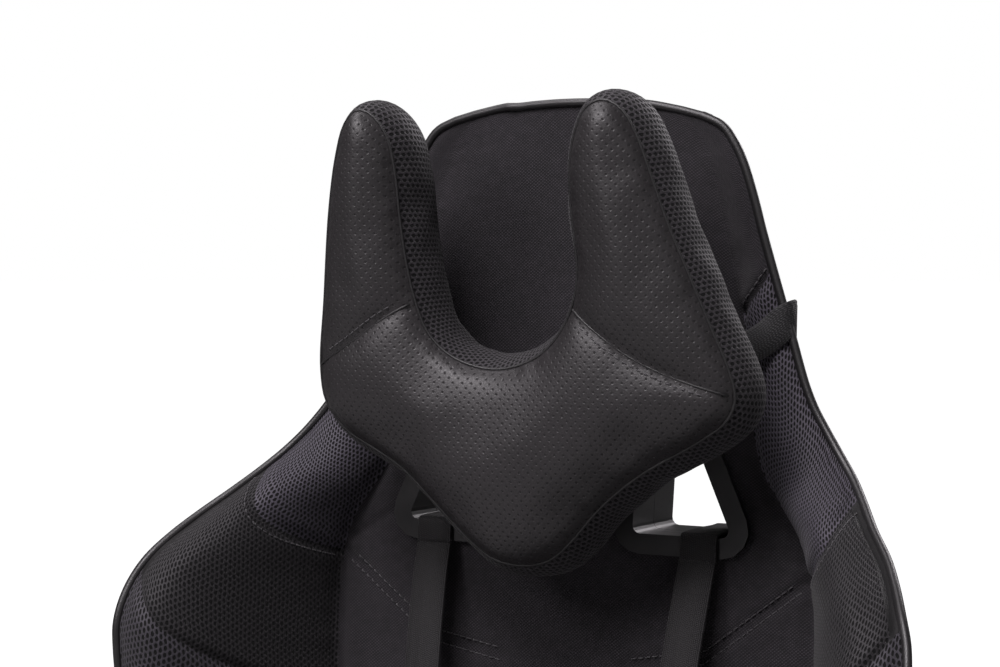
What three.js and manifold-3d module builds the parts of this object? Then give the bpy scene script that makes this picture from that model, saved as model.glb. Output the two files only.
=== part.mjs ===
// Reclining racing seat on slide rails.
// Millimetres, +Z up. The sitter faces -Y, so the sitter's left hand is on +X.
import * as THREE from "three";
import { mergeVertices } from "three/addons/utils/BufferGeometryUtils.js";
import Module from "manifold-3d";

const wasm = await Module();
wasm.setup();

// ---------------------------------------------------------------- driving dimensions

const RECLINE_AT_REST = 3; // degrees behind vertical
const PIVOT = { y: 248, z: 140 }; // recline axis, along X
const PANEL_AHEAD_OF_PIVOT = 8; // backrest front plane, ahead of the recline axis
const BACK_FOOT_ABOVE_PIVOT = 25; // lower edge of the backrest, above the recline axis

// Backrest profiles, as [height above its lower edge, value].
const BACK_HEIGHT = 840;
const OUTLINE_HALF_WIDTH = [
  [0, 205], [100, 221], [250, 234], [350, 246], [430, 256], [490, 261], [520, 258], [540, 250],
  [560, 237], [580, 219], [600, 203], [620, 187], [650, 167], [690, 152], [750, 132], [784, 121],
  [815, 103], [832, 84], [840, 62],
];
const WING_FORWARD = [
  [0, 48], [100, 60], [250, 92], [350, 112], [440, 126], [490, 130], [505, 127], [520, 120],
  [540, 106], [560, 80], [580, 55], [600, 30], [620, 17], [650, 9], [720, 2], [840, 0],
];
const CREASE_HALF_WIDTH = [[0, 150], [300, 160], [500, 166], [553, 159], [608, 128], [703, 115], [840, 84]];
const LUMBAR_SWELL = [[0, 6], [60, 14], [160, 26], [300, 16], [450, 3], [520, 0], [840, 0]];
const SIDE_BAND_DEPTH = [[0, 102], [150, 110], [300, 104], [420, 70], [500, 60], [840, 50]];
const BACK_DEPTH = [[0, 58], [100, 64], [400, 64], [700, 60], [840, 50]];
const SIDE_TAPER = [[0, 3], [170, 4], [400, 15], [840, 15]]; // rear edge inside the front edge
const CREST_RISE = 8; // bolster crest, ahead of the bolster's outer edge
const CREST_AT = 0.76; // crest position between crease (0) and outer edge (1)
const TOP_CROWN = 2;
const REAR_FLAT = 0.62; // share of the half width over which the back panel is flat

const SKIN = 2; // thickness of the sewn covers
const FOAM_INSET = 6; // foam surface, inside the cover's outer face
const FOAM_REACH = 0.955; // share of the panels' width that the foam fills
const PIPING_RADIUS = 3;
const GAP = 0.4; // running clearance between neighbours

// Harness openings: corners of the clear opening on the sitter's left, as [x, height].
const HARNESS_OPENING = [[47, 562], [114, 562], [80, 640], [50, 640]];
const OPENING_CORNER = 5;
const COLLAR = 2.6; // wall of the moulded surround inside the opening
const FLANGE = 13; // width of the surround's face
const FLANGE_THICK = 4.2;

// Tubes
const HOOP_RADIUS = 11;
const CROSS_RADIUS = 8;
const TUBE_WALL = 2.2;
const HOOP_DEPTH = 24; // tube axis behind the backrest front plane
const HOOP_STEPS = 30;
const HOOP_SIDES = 8;
const HOOP_PATH = [
  [184, 30], [183, 170], [165, 280], [160, 380], [156, 480],
  [140, 570], [119, 680], [97, 750], [40, 782], [0, 784],
];

// Recliner stack, as distances from the centre plane
const ARM = { inner: 222, thick: 5, depth: 40 };
const ARM_MIDDLE_Y = 14; // middle of the arm, behind the backrest front plane
const HUB = { inner: 227.6, outer: 239.4, radius: 36 };
const PLATE = { inner: 240, thick: 5 };
const RECLINER_COVER = { inner: 250.6, thick: 9 };
const ROD_RADIUS = 6;
const ARM_BOLT_HEIGHTS = [85, 135];
const PLATE_BOLTS_Y = [130, 190];
const BOLT = { radius: 4, head: 7.5, headThick: 5 };
const LEVER = { inner: 260.4, thick: 5, reach: 128, rise: 34 };

// Seat cushion
const SEAT = { front: -300, rear: 166, bottom: 81 };
const SEAT_HALF_WIDTH = [[-300, 206], [-270, 232], [-200, 252], [-60, 258], [40, 238], [166, 232]];
const SEAT_TOP = [[-300, 150], [-270, 164], [-200, 172], [-60, 168], [60, 166], [166, 172]];
const SEAT_BOLSTER = [[-300, 6], [-240, 22], [-120, 38], [40, 34], [120, 22], [166, 10]];
const SEAT_CREASE = 0.66; // share of the half width taken by the sitting panel
const SEAT_FOAM_FOOT_INSET = 18; // the foam's lower edge, inside the cushion's outline

// Seat frame and rails
const RAIL_X = 190;
const RAIL = { front: -215, rear: 225, width: 44, height: 20, wall: 2.2, lip: 8 };
const SLIDER = { front: -195, rear: 205, width: 17, top: 36, foot: 33 };
const GLIDE = { length: 60, low: 2.6, high: 6.6, halfWidth: 15, ends: [-160, 110] };
const RAIL_FIXING = { radius: 4.3, depth: 12 };
const SEAT_TUBE = { radius: 11, z: 66, front: -262, rear: 176, corner: 45 };
const SEAT_BANDS_Y = [-190, -100, -10, 80];
const BACK_BANDS_H = [150, 230, 310, 390];
const BAND = { width: 45, thick: 2 };
const HANDLE = { radius: 5, halfWidth: 150, pivotY: -120, pivotZ: 38, frontY: -318, frontZ: 30 };

// Head pillow and lumbar cushion
const PILLOW_OUTLINE = [
  [0, 0], [24, 6], [40, 24], [58, 41], [86, 63], [116, 82], [139, 98], [146, 116],
  [140, 150], [128, 188], [112, 222], [102, 250], [99, 278], [90, 294], [76, 300], [62, 292],
  [57, 268], [57, 220], [53, 176], [40, 150], [20, 136], [0, 132],
];
const PILLOW = { foot: 541, footForward: 14, thick: 56, puff: 14, lean: 9, roll: 2, shift: -4 };
const PILLOW_TRAVEL_STRAP = { height: 686, width: 22, thick: 1.6 };
const LUMBAR = { low: 108, high: 388, halfWidth: 146, rear: 30, thick: 66, puff: 13 };
const WEBBING = { width: 25, thick: 1.6, x: 92.5 };

// ---------------------------------------------------------------- materials

const finish = (color, roughness, metalness = 0) =>
  new THREE.MeshStandardMaterial({ color, roughness, metalness });
const TWILL = finish(0x1b1a1d, 0.9);
const LEATHER = finish(0x141315, 0.45);
const FOAM = finish(0x4b4b4d, 0.95);
const WEB = finish(0x121214, 0.85);
const ELASTIC = finish(0x2a2a2c, 0.85);
const PLASTIC = finish(0x17171a, 0.35);
const PAINTED = finish(0x19191b, 0.5, 0.6);
const ZINC = finish(0x9a9c9f, 0.38, 1);

// ---------------------------------------------------------------- shape tools

const clamp = THREE.MathUtils.clamp;
const radians = THREE.MathUtils.degToRad;

// Smooth curve through [position, value] knots.
function profile(knots, at) {
  const last = knots.length - 1;
  if (at <= knots[0][0]) return knots[0][1];
  if (at >= knots[last][0]) return knots[last][1];
  let i = 0;
  while (knots[i + 1][0] < at) i += 1;
  const slope = (k) => {
    const before = knots[Math.max(k - 1, 0)];
    const after = knots[Math.min(k + 1, last)];
    return (after[1] - before[1]) / (after[0] - before[0]);
  };
  const span = knots[i + 1][0] - knots[i][0];
  const t = (at - knots[i][0]) / span;
  const rise = t * t * (3 - 2 * t);
  const leave = t * (1 - t) * (1 - t) * span * slope(i);
  const arrive = t * t * (t - 1) * span * slope(i + 1);
  return knots[i][1] + (knots[i + 1][1] - knots[i][1]) * rise + leave + arrive;
}

function toSolid(geometry) {
  const bare = geometry.clone();
  bare.deleteAttribute("normal");
  bare.deleteAttribute("uv");
  const merged = mergeVertices(bare, 1e-3);
  const vertProperties = new Float32Array(merged.attributes.position.array);
  const triVerts = new Uint32Array(merged.index.array);
  return new wasm.Manifold(new wasm.Mesh({ numProp: 3, vertProperties, triVerts }));
}

function toGeometry(solid) {
  const mesh = solid.getMesh();
  const geometry = new THREE.BufferGeometry();
  geometry.setAttribute("position", new THREE.BufferAttribute(new Float32Array(mesh.vertProperties), 3));
  geometry.setIndex(new THREE.BufferAttribute(new Uint32Array(mesh.triVerts), 1));
  return geometry;
}

// The same geometry on the other side of the centre plane.
function mirrored(geometry) {
  const copy = geometry.clone().scale(-1, 1, 1);
  const index = copy.index.array;
  for (let i = 0; i < index.length; i += 3) {
    [index[i], index[i + 1]] = [index[i + 1], index[i]];
  }
  return copy;
}

// A centripetal curve through points.
const curveThrough = (points, closed = false) =>
  new THREE.CatmullRomCurve3(points, closed, "centripetal");

const AXIS_X = new THREE.Vector3(1, 0, 0);
const AXIS_Y = new THREE.Vector3(0, 1, 0);
const AXIS_Z = new THREE.Vector3(0, 0, 1);

// A flat outline in [x, z], filled from yFront to yRear.
function prismY(shape, yFront, yRear, segments = 6) {
  const options = { depth: yRear - yFront, bevelEnabled: false, curveSegments: segments };
  const geometry = new THREE.ExtrudeGeometry(shape, options);
  const turn = new THREE.Matrix4().makeBasis(AXIS_X, AXIS_Z, AXIS_Y.clone().negate());
  return geometry.applyMatrix4(turn).translate(0, yRear, 0);
}

// A flat outline in [y, z], filled from xLow to xHigh.
function prismX(shape, xLow, xHigh, segments = 8) {
  const options = { depth: xHigh - xLow, bevelEnabled: false, curveSegments: segments };
  const geometry = new THREE.ExtrudeGeometry(shape, options);
  return geometry.applyMatrix4(new THREE.Matrix4().makeBasis(AXIS_Y, AXIS_Z, AXIS_X)).translate(xLow, 0, 0);
}

// A flat outline in [x, y], filled from zLow to zHigh.
function prismZ(shape, zLow, zHigh, segments = 6) {
  const options = { depth: zHigh - zLow, bevelEnabled: false, curveSegments: segments };
  return new THREE.ExtrudeGeometry(shape, options).translate(0, 0, zLow);
}

const polygon = (points) => new THREE.Shape(points.map(([a, b]) => new THREE.Vector2(a, b)));

function circle(y, z, radius, sides = 20) {
  const points = [];
  for (let i = 0; i < sides; i += 1) {
    const angle = (i / sides) * 2 * Math.PI;
    points.push([y + radius * Math.cos(angle), z + radius * Math.sin(angle)]);
  }
  return polygon(points);
}

const box = (x0, x1, y0, y1, z0, z1) =>
  new THREE.BoxGeometry(x1 - x0, y1 - y0, z1 - z0).translate((x0 + x1) / 2, (y0 + y1) / 2, (z0 + z1) / 2);

// Convex outline moved outwards by grow, with its corners rounded.
function roundedOutline(corners, grow, radius, steps = 4) {
  const count = corners.length;
  const lines = corners.map(([ax, ay], i) => {
    const [bx, by] = corners[(i + 1) % count];
    const length = Math.hypot(bx - ax, by - ay);
    const normal = [(by - ay) / length, (ax - bx) / length];
    return { normal, offset: normal[0] * ax + normal[1] * ay + grow };
  });
  const points = [];
  for (let i = 0; i < count; i += 1) {
    const one = lines[(i + count - 1) % count];
    const two = lines[i];
    const cross = one.normal[0] * two.normal[1] - one.normal[1] * two.normal[0];
    const inset = (line) => line.offset - radius;
    const cx = (inset(one) * two.normal[1] - inset(two) * one.normal[1]) / cross;
    const cy = (inset(two) * one.normal[0] - inset(one) * two.normal[0]) / cross;
    const from = Math.atan2(one.normal[1], one.normal[0]);
    let to = Math.atan2(two.normal[1], two.normal[0]);
    if (to < from) to += 2 * Math.PI;
    for (let k = 0; k <= steps; k += 1) {
      const angle = from + ((to - from) * k) / steps;
      points.push([cx + radius * Math.cos(angle), cy + radius * Math.sin(angle)]);
    }
  }
  return polygon(points);
}

// A round bar along a smooth route of points.
function bar(points, radius, steps, sides = 10) {
  const route = curveThrough(points.map((p) => new THREE.Vector3(...p)));
  const options = { steps, bevelEnabled: false, extrudePath: route };
  return new THREE.ExtrudeGeometry(circle(0, 0, radius, sides), options);
}

// The bore of a bar along the same route, run out past both ends along one axis (0 x, 1 y, 2 z).
function boreOf(points, axis, radius, steps, sides) {
  const past = 3;
  const longer = points.map((p) => [...p]);
  for (const [end, inner] of [[0, 1], [points.length - 1, points.length - 2]]) {
    longer[end][axis] += past * Math.sign(points[end][axis] - points[inner][axis]);
  }
  return toSolid(bar(longer, radius, steps, sides));
}

const rod = (x0, x1, y, z, radius, sides = 16) => prismX(circle(y, z, radius, sides), x0, x1);

// A band of cloth seen edge on: route points as [a, b], thickened to both sides.
function ribbonOutline(route, thick, divisions) {
  const curve = curveThrough(route.map(([a, b]) => new THREE.Vector3(a, b, 0)));
  const near = [];
  const far = [];
  for (let i = 0; i <= divisions; i += 1) {
    const at = curve.getPoint(i / divisions);
    const along = curve.getTangent(i / divisions);
    near.push([at.x - (along.y * thick) / 2, at.y + (along.x * thick) / 2]);
    far.unshift([at.x + (along.y * thick) / 2, at.y - (along.x * thick) / 2]);
  }
  return polygon(near.concat(far));
}

// Sheets are grids of points: sheet[i][j], i along u and j along v.
const makeSheet = (us, vs, pointAt) => us.map((u) => vs.map((v) => pointAt(u, v)));

// Mean direction of the two steps that meet at a point.
function directionAt(before, point, after) {
  const arriving = point.clone().sub(before).normalize();
  return arriving.add(after.clone().sub(point).normalize());
}

function offsetSheet(sheet, distance) {
  const columns = sheet.length - 1;
  const rows = sheet[0].length - 1;
  return sheet.map((column, i) => column.map((point, j) => {
    const alongU = directionAt(sheet[Math.max(i - 1, 0)][j], point, sheet[Math.min(i + 1, columns)][j]);
    const alongV = directionAt(column[Math.max(j - 1, 0)], point, column[Math.min(j + 1, rows)]);
    const normal = alongU.cross(alongV).normalize();
    return point.clone().addScaledVector(normal, distance);
  }));
}

// Closed body between two sheets of the same size; the first faces outwards.
function bodyBetween(outer, inner) {
  const columns = outer.length;
  const rows = outer[0].length;
  const positions = [];
  for (const sheet of [outer, inner]) {
    sheet.forEach((column) => column.forEach((p) => positions.push(p.x, p.y, p.z)));
  }
  const index = [];
  const outerAt = (i, j) => i * rows + j;
  const innerAt = (i, j) => columns * rows + i * rows + j;
  const quad = (a, b, c, d) => index.push(a, b, c, a, c, d);
  for (let i = 0; i < columns - 1; i += 1) {
    for (let j = 0; j < rows - 1; j += 1) {
      quad(outerAt(i, j), outerAt(i + 1, j), outerAt(i + 1, j + 1), outerAt(i, j + 1));
      quad(innerAt(i, j), innerAt(i, j + 1), innerAt(i + 1, j + 1), innerAt(i + 1, j));
    }
  }
  for (let i = 0; i < columns - 1; i += 1) {
    quad(innerAt(i, 0), innerAt(i + 1, 0), outerAt(i + 1, 0), outerAt(i, 0));
    quad(outerAt(i, rows - 1), outerAt(i + 1, rows - 1), innerAt(i + 1, rows - 1), innerAt(i, rows - 1));
  }
  const last = columns - 1;
  for (let j = 0; j < rows - 1; j += 1) {
    quad(outerAt(0, j), outerAt(0, j + 1), innerAt(0, j + 1), innerAt(0, j));
    quad(innerAt(last, j), innerAt(last, j + 1), outerAt(last, j + 1), outerAt(last, j));
  }
  const geometry = new THREE.BufferGeometry();
  geometry.setAttribute("position", new THREE.BufferAttribute(new Float32Array(positions), 3));
  geometry.setIndex(index);
  return geometry;
}

// ---------------------------------------------------------------- backrest surfaces
// u runs across from -1 to 1, v runs up from 0 to 1; beyond those limits lies the side band.

const EDGE_SHARE = 0.14; // how far u and v run past the front edge, across the side band
const PIPING_OUT = PIPING_RADIUS + 2; // piping axis, outside the cover's front edge
const halfWidth = (h) => profile(OUTLINE_HALF_WIDTH, h) - PIPING_RADIUS - PIPING_OUT;
const creaseAt = (h) => Math.min(profile(CREASE_HALF_WIDTH, h), 0.82 * halfWidth(h));

function frontPoint(u, v) {
  const h = BACK_HEIGHT * v;
  const crease = creaseAt(h);
  const swell = profile(LUMBAR_SWELL, h);
  const share = Math.abs(u);
  const side = Math.sign(u);
  if (share <= 0.5) {
    const across = share / 0.5;
    const crown = TOP_CROWN * across * across * clamp((h - 780) / 60, 0, 1);
    return new THREE.Vector3(side * crease * across, -swell * (1 - 0.6 * across * across), h - crown);
  }
  const wing = (share - 0.5) / 0.5;
  const edge = profile(WING_FORWARD, h);
  const root = 0.4 * swell;
  const crest = edge + CREST_RISE * clamp(edge / 40, 0.1, 1);
  const rise = Math.sin((Math.PI / 2) * Math.min(wing / CREST_AT, 1));
  const fall = Math.max(wing - CREST_AT, 0) / (1 - CREST_AT);
  const forward = root + (crest - root) * rise - (crest - edge) * fall * fall;
  const crown = TOP_CROWN * clamp((h - 780) / 60, 0, 1);
  return new THREE.Vector3(side * (crease + (halfWidth(h) - crease) * wing), -forward, h - crown);
}

function rearPoint(u, v) {
  const h = BACK_HEIGHT * v;
  const share = Math.abs(u);
  const t = clamp((share - REAR_FLAT) / (1 - REAR_FLAT), 0, 1);
  const edgeY = profile(SIDE_BAND_DEPTH, h) - profile(WING_FORWARD, h);
  const centreY = profile(BACK_DEPTH, h);
  const y = centreY + (edgeY - centreY) * t * t * (3 - 2 * t);
  const inset = clamp(v, 0.006, 0.994);
  return new THREE.Vector3(u * (halfWidth(h) - profile(SIDE_TAPER, h)), y, BACK_HEIGHT * inset);
}

// Point of the rear face straight behind a point of the front face.
const behindFront = (front, v) => rearPoint(front.x / halfWidth(BACK_HEIGHT * v), v);

function wrappedFrontPoint(u, v) {
  const height = clamp(v, 0, 1);
  const edge = frontPoint(clamp(u, -1, 1), height);
  const past = Math.max(Math.abs(u) - 1, v - 1, -v, 0) / EDGE_SHARE;
  return past > 0 ? edge.lerp(behindFront(edge, height), past) : edge;
}

const innerUs = [-1, -0.9, -0.78, -0.66, -0.57, -0.5, -0.26, 0];
const frontUs = innerUs.concat(innerUs.slice(0, -1).reverse().map((u) => -u));
const wrappedUs = [-1 - EDGE_SHARE, ...frontUs, 1 + EDGE_SHARE];
const FOOT_ROW = 12;
const innerRows = [80, 170, 260, 340, 400, 450, 490, 520, 550, 590, 640, 710, 780];
const rowHeights = [0, FOOT_ROW, ...innerRows, 808, 826, 836, BACK_HEIGHT];
const wrappedVs = [-EDGE_SHARE, ...rowHeights.map((h) => h / BACK_HEIGHT), 1 + EDGE_SHARE];

const frontSheet = makeSheet(wrappedUs, wrappedVs, wrappedFrontPoint);
const wholeRearSheet = makeSheet(wrappedUs, wrappedVs, (u, v) => {
  const lift = (v - 0.5) / (0.5 + EDGE_SHARE);
  return rearPoint(u / (1 + EDGE_SHARE), 0.5 + 0.5 * lift);
});

// The foam has fewer columns at the bolsters' narrow edges, and stops short of the foot and the top.
const foamUs = wrappedUs.filter((u) => Math.abs(u) < 0.8 || Math.abs(u) >= 1);
const foamVs = [20, ...innerRows, 806, 822].map((h) => h / BACK_HEIGHT);
const foamFrontSheet = makeSheet(foamUs, foamVs, (u, v) => {
  const front = frontPoint(clamp(u, -FOAM_REACH, FOAM_REACH), v);
  return Math.abs(u) > 1 ? front.lerp(rearPoint(FOAM_REACH * Math.sign(u), v), 0.78) : front;
});
const foamRearSheet = makeSheet(foamUs, foamVs, (u, v) => {
  const front = frontPoint(clamp(u, -1, 1), v);
  front.x *= Math.abs(u) > 1 ? FOAM_REACH : FOAM_REACH ** 2;
  return behindFront(front, v);
});

// ---------------------------------------------------------------- backrest pieces

const openingOnLeft = (grow) => roundedOutline(HARNESS_OPENING, grow, OPENING_CORNER + grow);
const mirrorSolid = (solid) => toSolid(mirrored(toGeometry(solid)));

function onBothSides(solid) {
  return solid.add(mirrorSolid(solid));
}

const bezelClearance = onBothSides(toSolid(prismY(openingOnLeft(COLLAR + GAP), -200, 200)));

const hoopRoute = HOOP_PATH.map(([x, h]) => [x, HOOP_DEPTH, h]);
const hoopPoints = hoopRoute.concat(hoopRoute.slice(0, -1).reverse().map(([x, y, h]) => [-x, y, h]));

function backFrame() {
  const hoop = toSolid(bar(hoopPoints, HOOP_RADIUS, HOOP_STEPS, HOOP_SIDES));
  const crossAt = (h, reach) => toSolid(rod(-reach, reach, HOOP_DEPTH, h, CROSS_RADIUS, 10));
  const lug = toSolid(box(HOOP_PATH[0][0], 202, ARM_MIDDLE_Y - 13, HOOP_DEPTH + 6, 64, 158));
  let frame = hoop.add(crossAt(60, HOOP_PATH[0][0])).add(crossAt(500, 156)).add(onBothSides(lug));
  frame = frame.subtract(boreOf(hoopPoints, 2, HOOP_RADIUS - TUBE_WALL, HOOP_STEPS, HOOP_SIDES));
  for (const height of ARM_BOLT_HEIGHTS) {
    const hole = toSolid(rod(170, 230, ARM_MIDDLE_Y, height, BOLT.radius + GAP, 12));
    frame = frame.subtract(onBothSides(hole));
  }
  return frame;
}

function backFoam() {
  const front = offsetSheet(foamFrontSheet, -FOAM_INSET);
  const rear = offsetSheet(foamRearSheet, 1.5 * FOAM_INSET);
  let foam = toSolid(bodyBetween(front, rear));
  foam = foam.subtract(toSolid(bar(hoopPoints, HOOP_RADIUS + 2.2, HOOP_STEPS, HOOP_SIDES)));
  const legX = HOOP_PATH[0][0];
  const legReach = HOOP_RADIUS + 3;
  const legSlot = box(legX - legReach, legX + legReach, HOOP_DEPTH - legReach, HOOP_DEPTH + 40, -40, 60);
  foam = foam.subtract(onBothSides(toSolid(legSlot)));
  const recess = toSolid(box(-215, 215, HOOP_DEPTH - 1, 140, -40, 430));
  const crossSlot = toSolid(box(-170, 170, HOOP_DEPTH - 10, 140, 488, 512));
  foam = foam.subtract(recess).subtract(crossSlot).subtract(bezelClearance);
  const lugPocket = toSolid(box(170, 260, ARM_MIDDLE_Y - 16, 140, 50, 162));
  const lowCross = toSolid(box(-190, 190, HOOP_DEPTH - 10, 140, 30, 72));
  return foam.subtract(onBothSides(lugPocket)).subtract(lowCross);
}

function frontCover() {
  let cover = toSolid(bodyBetween(frontSheet, offsetSheet(frontSheet, -SKIN)));
  cover = cover.subtract(bezelClearance);
  for (const height of ARM_BOLT_HEIGHTS) {
    const hole = toSolid(rod(195, 230, ARM_MIDDLE_Y, height, BOLT.radius + 1, 12));
    cover = cover.subtract(onBothSides(hole));
  }
  return cover;
}

function rearCover() {
  const us = [-0.955, -0.87, -0.76, -0.65, -0.54, 0, 0.54, 0.65, 0.76, 0.87, 0.955];
  const vs = [FOOT_ROW, ...innerRows, 811].map((h) => h / BACK_HEIGHT);
  const sheet = makeSheet(us, vs, rearPoint);
  return toSolid(bodyBetween(offsetSheet(sheet, SKIN), sheet)).subtract(bezelClearance);
}

function backPiping() {
  const edge = [FOOT_ROW, ...innerRows, 808, 826].map((h) => frontPoint(1, h / BACK_HEIGHT));
  const left = edge.map((p) => [p.x + PIPING_OUT, p.y, p.z + 3 * clamp((p.z - 790) / 30, 0, 1)]);
  const top = [[62, 0, 842], [35, -0.5, 843.4], [0, -0.5, 843.8]];
  const half = left.concat(top);
  const whole = half.concat(half.slice(0, -1).reverse().map(([x, y, z]) => [-x, y, z]));
  return toSolid(bar(whole, PIPING_RADIUS, 72, 5));
}

function frontBezel() {
  const clear = toSolid(prismY(openingOnLeft(0), -50, 100));
  const face = toSolid(prismY(openingOnLeft(FLANGE), -GAP - FLANGE_THICK, -GAP));
  const collar = toSolid(prismY(openingOnLeft(COLLAR), -GAP - 1, 32));
  return face.add(collar).subtract(clear);
}

function rearBezel() {
  const rear = profile(BACK_DEPTH, 600) + SKIN;
  const clear = toSolid(prismY(openingOnLeft(0), -50, 140));
  const face = toSolid(prismY(openingOnLeft(FLANGE - 3), rear + GAP, rear + GAP + 3));
  const collar = toSolid(prismY(openingOnLeft(COLLAR), 32 + GAP, rear + GAP + 1));
  return face.add(collar).subtract(clear);
}

function backBand(height) {
  const start = HOOP_DEPTH + HOOP_RADIUS + GAP;
  const reach = profile(HOOP_PATH.slice(0, 5).map(([x, h]) => [h, x]), height);
  const half = BAND.width / 2;
  return box(6 - reach, reach - 6, start, start + BAND.thick, height - half, height + half);
}

// ---------------------------------------------------------------- recliner

// The arm hangs below the backrest's foot to the pivot; [y, z] measured in the backrest.
const PIVOT_IN_BACK = [PANEL_AHEAD_OF_PIVOT, -BACK_FOOT_ABOVE_PIVOT];

function reclinerArm() {
  const [py, pz] = PIVOT_IN_BACK;
  const half = ARM.depth / 2;
  const blade = polygon([
    [py - 30, pz - 8], [py + 30, pz - 8], [ARM_MIDDLE_Y + half, 50], [ARM_MIDDLE_Y + half, 158],
    [ARM_MIDDLE_Y - half, 158], [ARM_MIDDLE_Y - half, 50],
  ]);
  const outline = toSolid(prismX(blade, ARM.inner, ARM.inner + ARM.thick));
  const eye = toSolid(prismX(circle(py, pz, HUB.radius, 16), ARM.inner, ARM.inner + ARM.thick));
  let arm = outline.add(eye).subtract(toSolid(rod(210, 235, py, pz, ROD_RADIUS + 1)));
  for (const height of ARM_BOLT_HEIGHTS) {
    arm = arm.subtract(toSolid(rod(210, 235, ARM_MIDDLE_Y, height, BOLT.radius + GAP, 12)));
  }
  return arm;
}

// Hexagon-headed bolt along X, head outwards at headX.
function bolt(y, z, shankFrom, headX) {
  const shank = toSolid(rod(shankFrom, headX + 1, y, z, BOLT.radius, 10));
  return shank.add(toSolid(rod(headX, headX + BOLT.headThick, y, z, BOLT.head, 6)));
}

function reclinerHub() {
  const disc = toSolid(rod(HUB.inner, HUB.outer, PIVOT.y, PIVOT.z, HUB.radius, 20));
  return disc.subtract(toSolid(rod(200, 260, PIVOT.y, PIVOT.z, ROD_RADIUS + 1)));
}

function reclinerPlate() {
  const { y, z } = PIVOT;
  const low = SEAT_TUBE.z - 12;
  const web = polygon([
    [PLATE_BOLTS_Y[0] - 16, low], [PLATE_BOLTS_Y[1] + 24, low], [y + 30, z - 20], [y + 24, z + 28],
    [y - 26, z + 28], [PLATE_BOLTS_Y[0] - 16, low + 26],
  ]);
  const outer = PLATE.inner + PLATE.thick;
  let plate = toSolid(prismX(web, PLATE.inner, outer));
  plate = plate.add(toSolid(prismX(circle(y, z, 42, 20), PLATE.inner, outer)));
  plate = plate.subtract(toSolid(rod(230, 260, y, z, ROD_RADIUS + 1)));
  for (const boltY of PLATE_BOLTS_Y) {
    plate = plate.subtract(toSolid(rod(230, 260, boltY, SEAT_TUBE.z, BOLT.radius + GAP, 12)));
  }
  return plate;
}

function reclinerCover() {
  const { y, z } = PIVOT;
  const outline = polygon([
    [y - 140, 52], [y - 20, 50], [y + 18, z - 42], [y + 44, z - 16], [y + 46, z + 14],
    [y + 26, z + 42], [y - 22, z + 46], [y - 52, z + 22], [y - 84, 100], [y - 138, 92],
  ]);
  const inner = RECLINER_COVER.inner;
  const whole = toSolid(prismX(outline, inner, inner + RECLINER_COVER.thick));
  return whole.subtract(toSolid(rod(inner - 5, inner + 20, y, z, ROD_RADIUS + 1.5)));
}


function leverBlade() {
  const { y, z } = PIVOT;
  const blade = polygon([
    [y + 12, z - 12], [y + 12, z + 12], [y - 40, z + 20], [y - LEVER.reach, z + LEVER.rise + 7],
    [y - LEVER.reach, z + LEVER.rise - 7], [y - 40, z - 4],
  ]);
  const plate = toSolid(prismX(blade, LEVER.inner, LEVER.inner + LEVER.thick));
  const eye = toSolid(prismX(circle(y, z, 15, 20), LEVER.inner, LEVER.inner + LEVER.thick));
  return plate.add(eye).subtract(toSolid(rod(255, 275, y, z, ROD_RADIUS + GAP)));
}

function leverGrip() {
  const { y, z } = PIVOT;
  const tip = y - LEVER.reach;
  const rise = z + LEVER.rise;
  const shell = polygon([
    [tip + 46, rise - 18], [tip + 48, rise - 2], [tip - 8, rise + 14], [tip - 34, rise + 14],
    [tip - 42, rise + 4], [tip - 38, rise - 9], [tip - 4, rise - 14],
  ]);
  const middle = LEVER.inner + LEVER.thick / 2;
  const grip = toSolid(prismX(shell, middle - 9, middle + 9));
  const slot = polygon([
    [y - 40, z + 21], [tip - 1, rise + 7.6], [tip - 1, rise - 7.6], [y - 40, z - 5],
  ]);
  return grip.subtract(toSolid(prismX(slot, LEVER.inner - GAP, LEVER.inner + LEVER.thick + GAP)));
}

// ---------------------------------------------------------------- rails and seat frame

function lowerRail() {
  const half = RAIL.width / 2;
  const { wall, height, lip } = RAIL;
  const section = polygon([
    [RAIL_X - half, 0], [RAIL_X + half, 0], [RAIL_X + half, height], [RAIL_X + half - lip, height],
    [RAIL_X + half - lip, height - wall], [RAIL_X + half - wall, height - wall],
    [RAIL_X + half - wall, wall], [RAIL_X - half + wall, wall], [RAIL_X - half + wall, height - wall],
    [RAIL_X - half + lip, height - wall], [RAIL_X - half + lip, height], [RAIL_X - half, height],
  ]);
  let rail = toSolid(prismY(section, RAIL.front, RAIL.rear));
  for (const y of [RAIL.front + 18, RAIL.rear - 18]) {
    const { radius, depth } = RAIL_FIXING;
    const hole = new THREE.CylinderGeometry(radius, radius, depth, 16).rotateX(Math.PI / 2);
    rail = rail.subtract(toSolid(hole.translate(RAIL_X, y, 0)));
  }
  return rail;
}

function upperRail() {
  const half = SLIDER.width / 2;
  const foot = SLIDER.foot / 2;
  const section = polygon([
    [RAIL_X - foot, 7], [RAIL_X + foot, 7], [RAIL_X + foot, 13], [RAIL_X + half, 13],
    [RAIL_X + half, SLIDER.top], [RAIL_X - half, SLIDER.top], [RAIL_X - half, 13], [RAIL_X - foot, 13],
  ]);
  return toSolid(prismY(section, SLIDER.front, SLIDER.rear));
}


function railGlide(y) {
  const { length, low, high, halfWidth } = GLIDE;
  return box(RAIL_X - halfWidth, RAIL_X + halfWidth, y, y + length, low, high);
}

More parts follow.
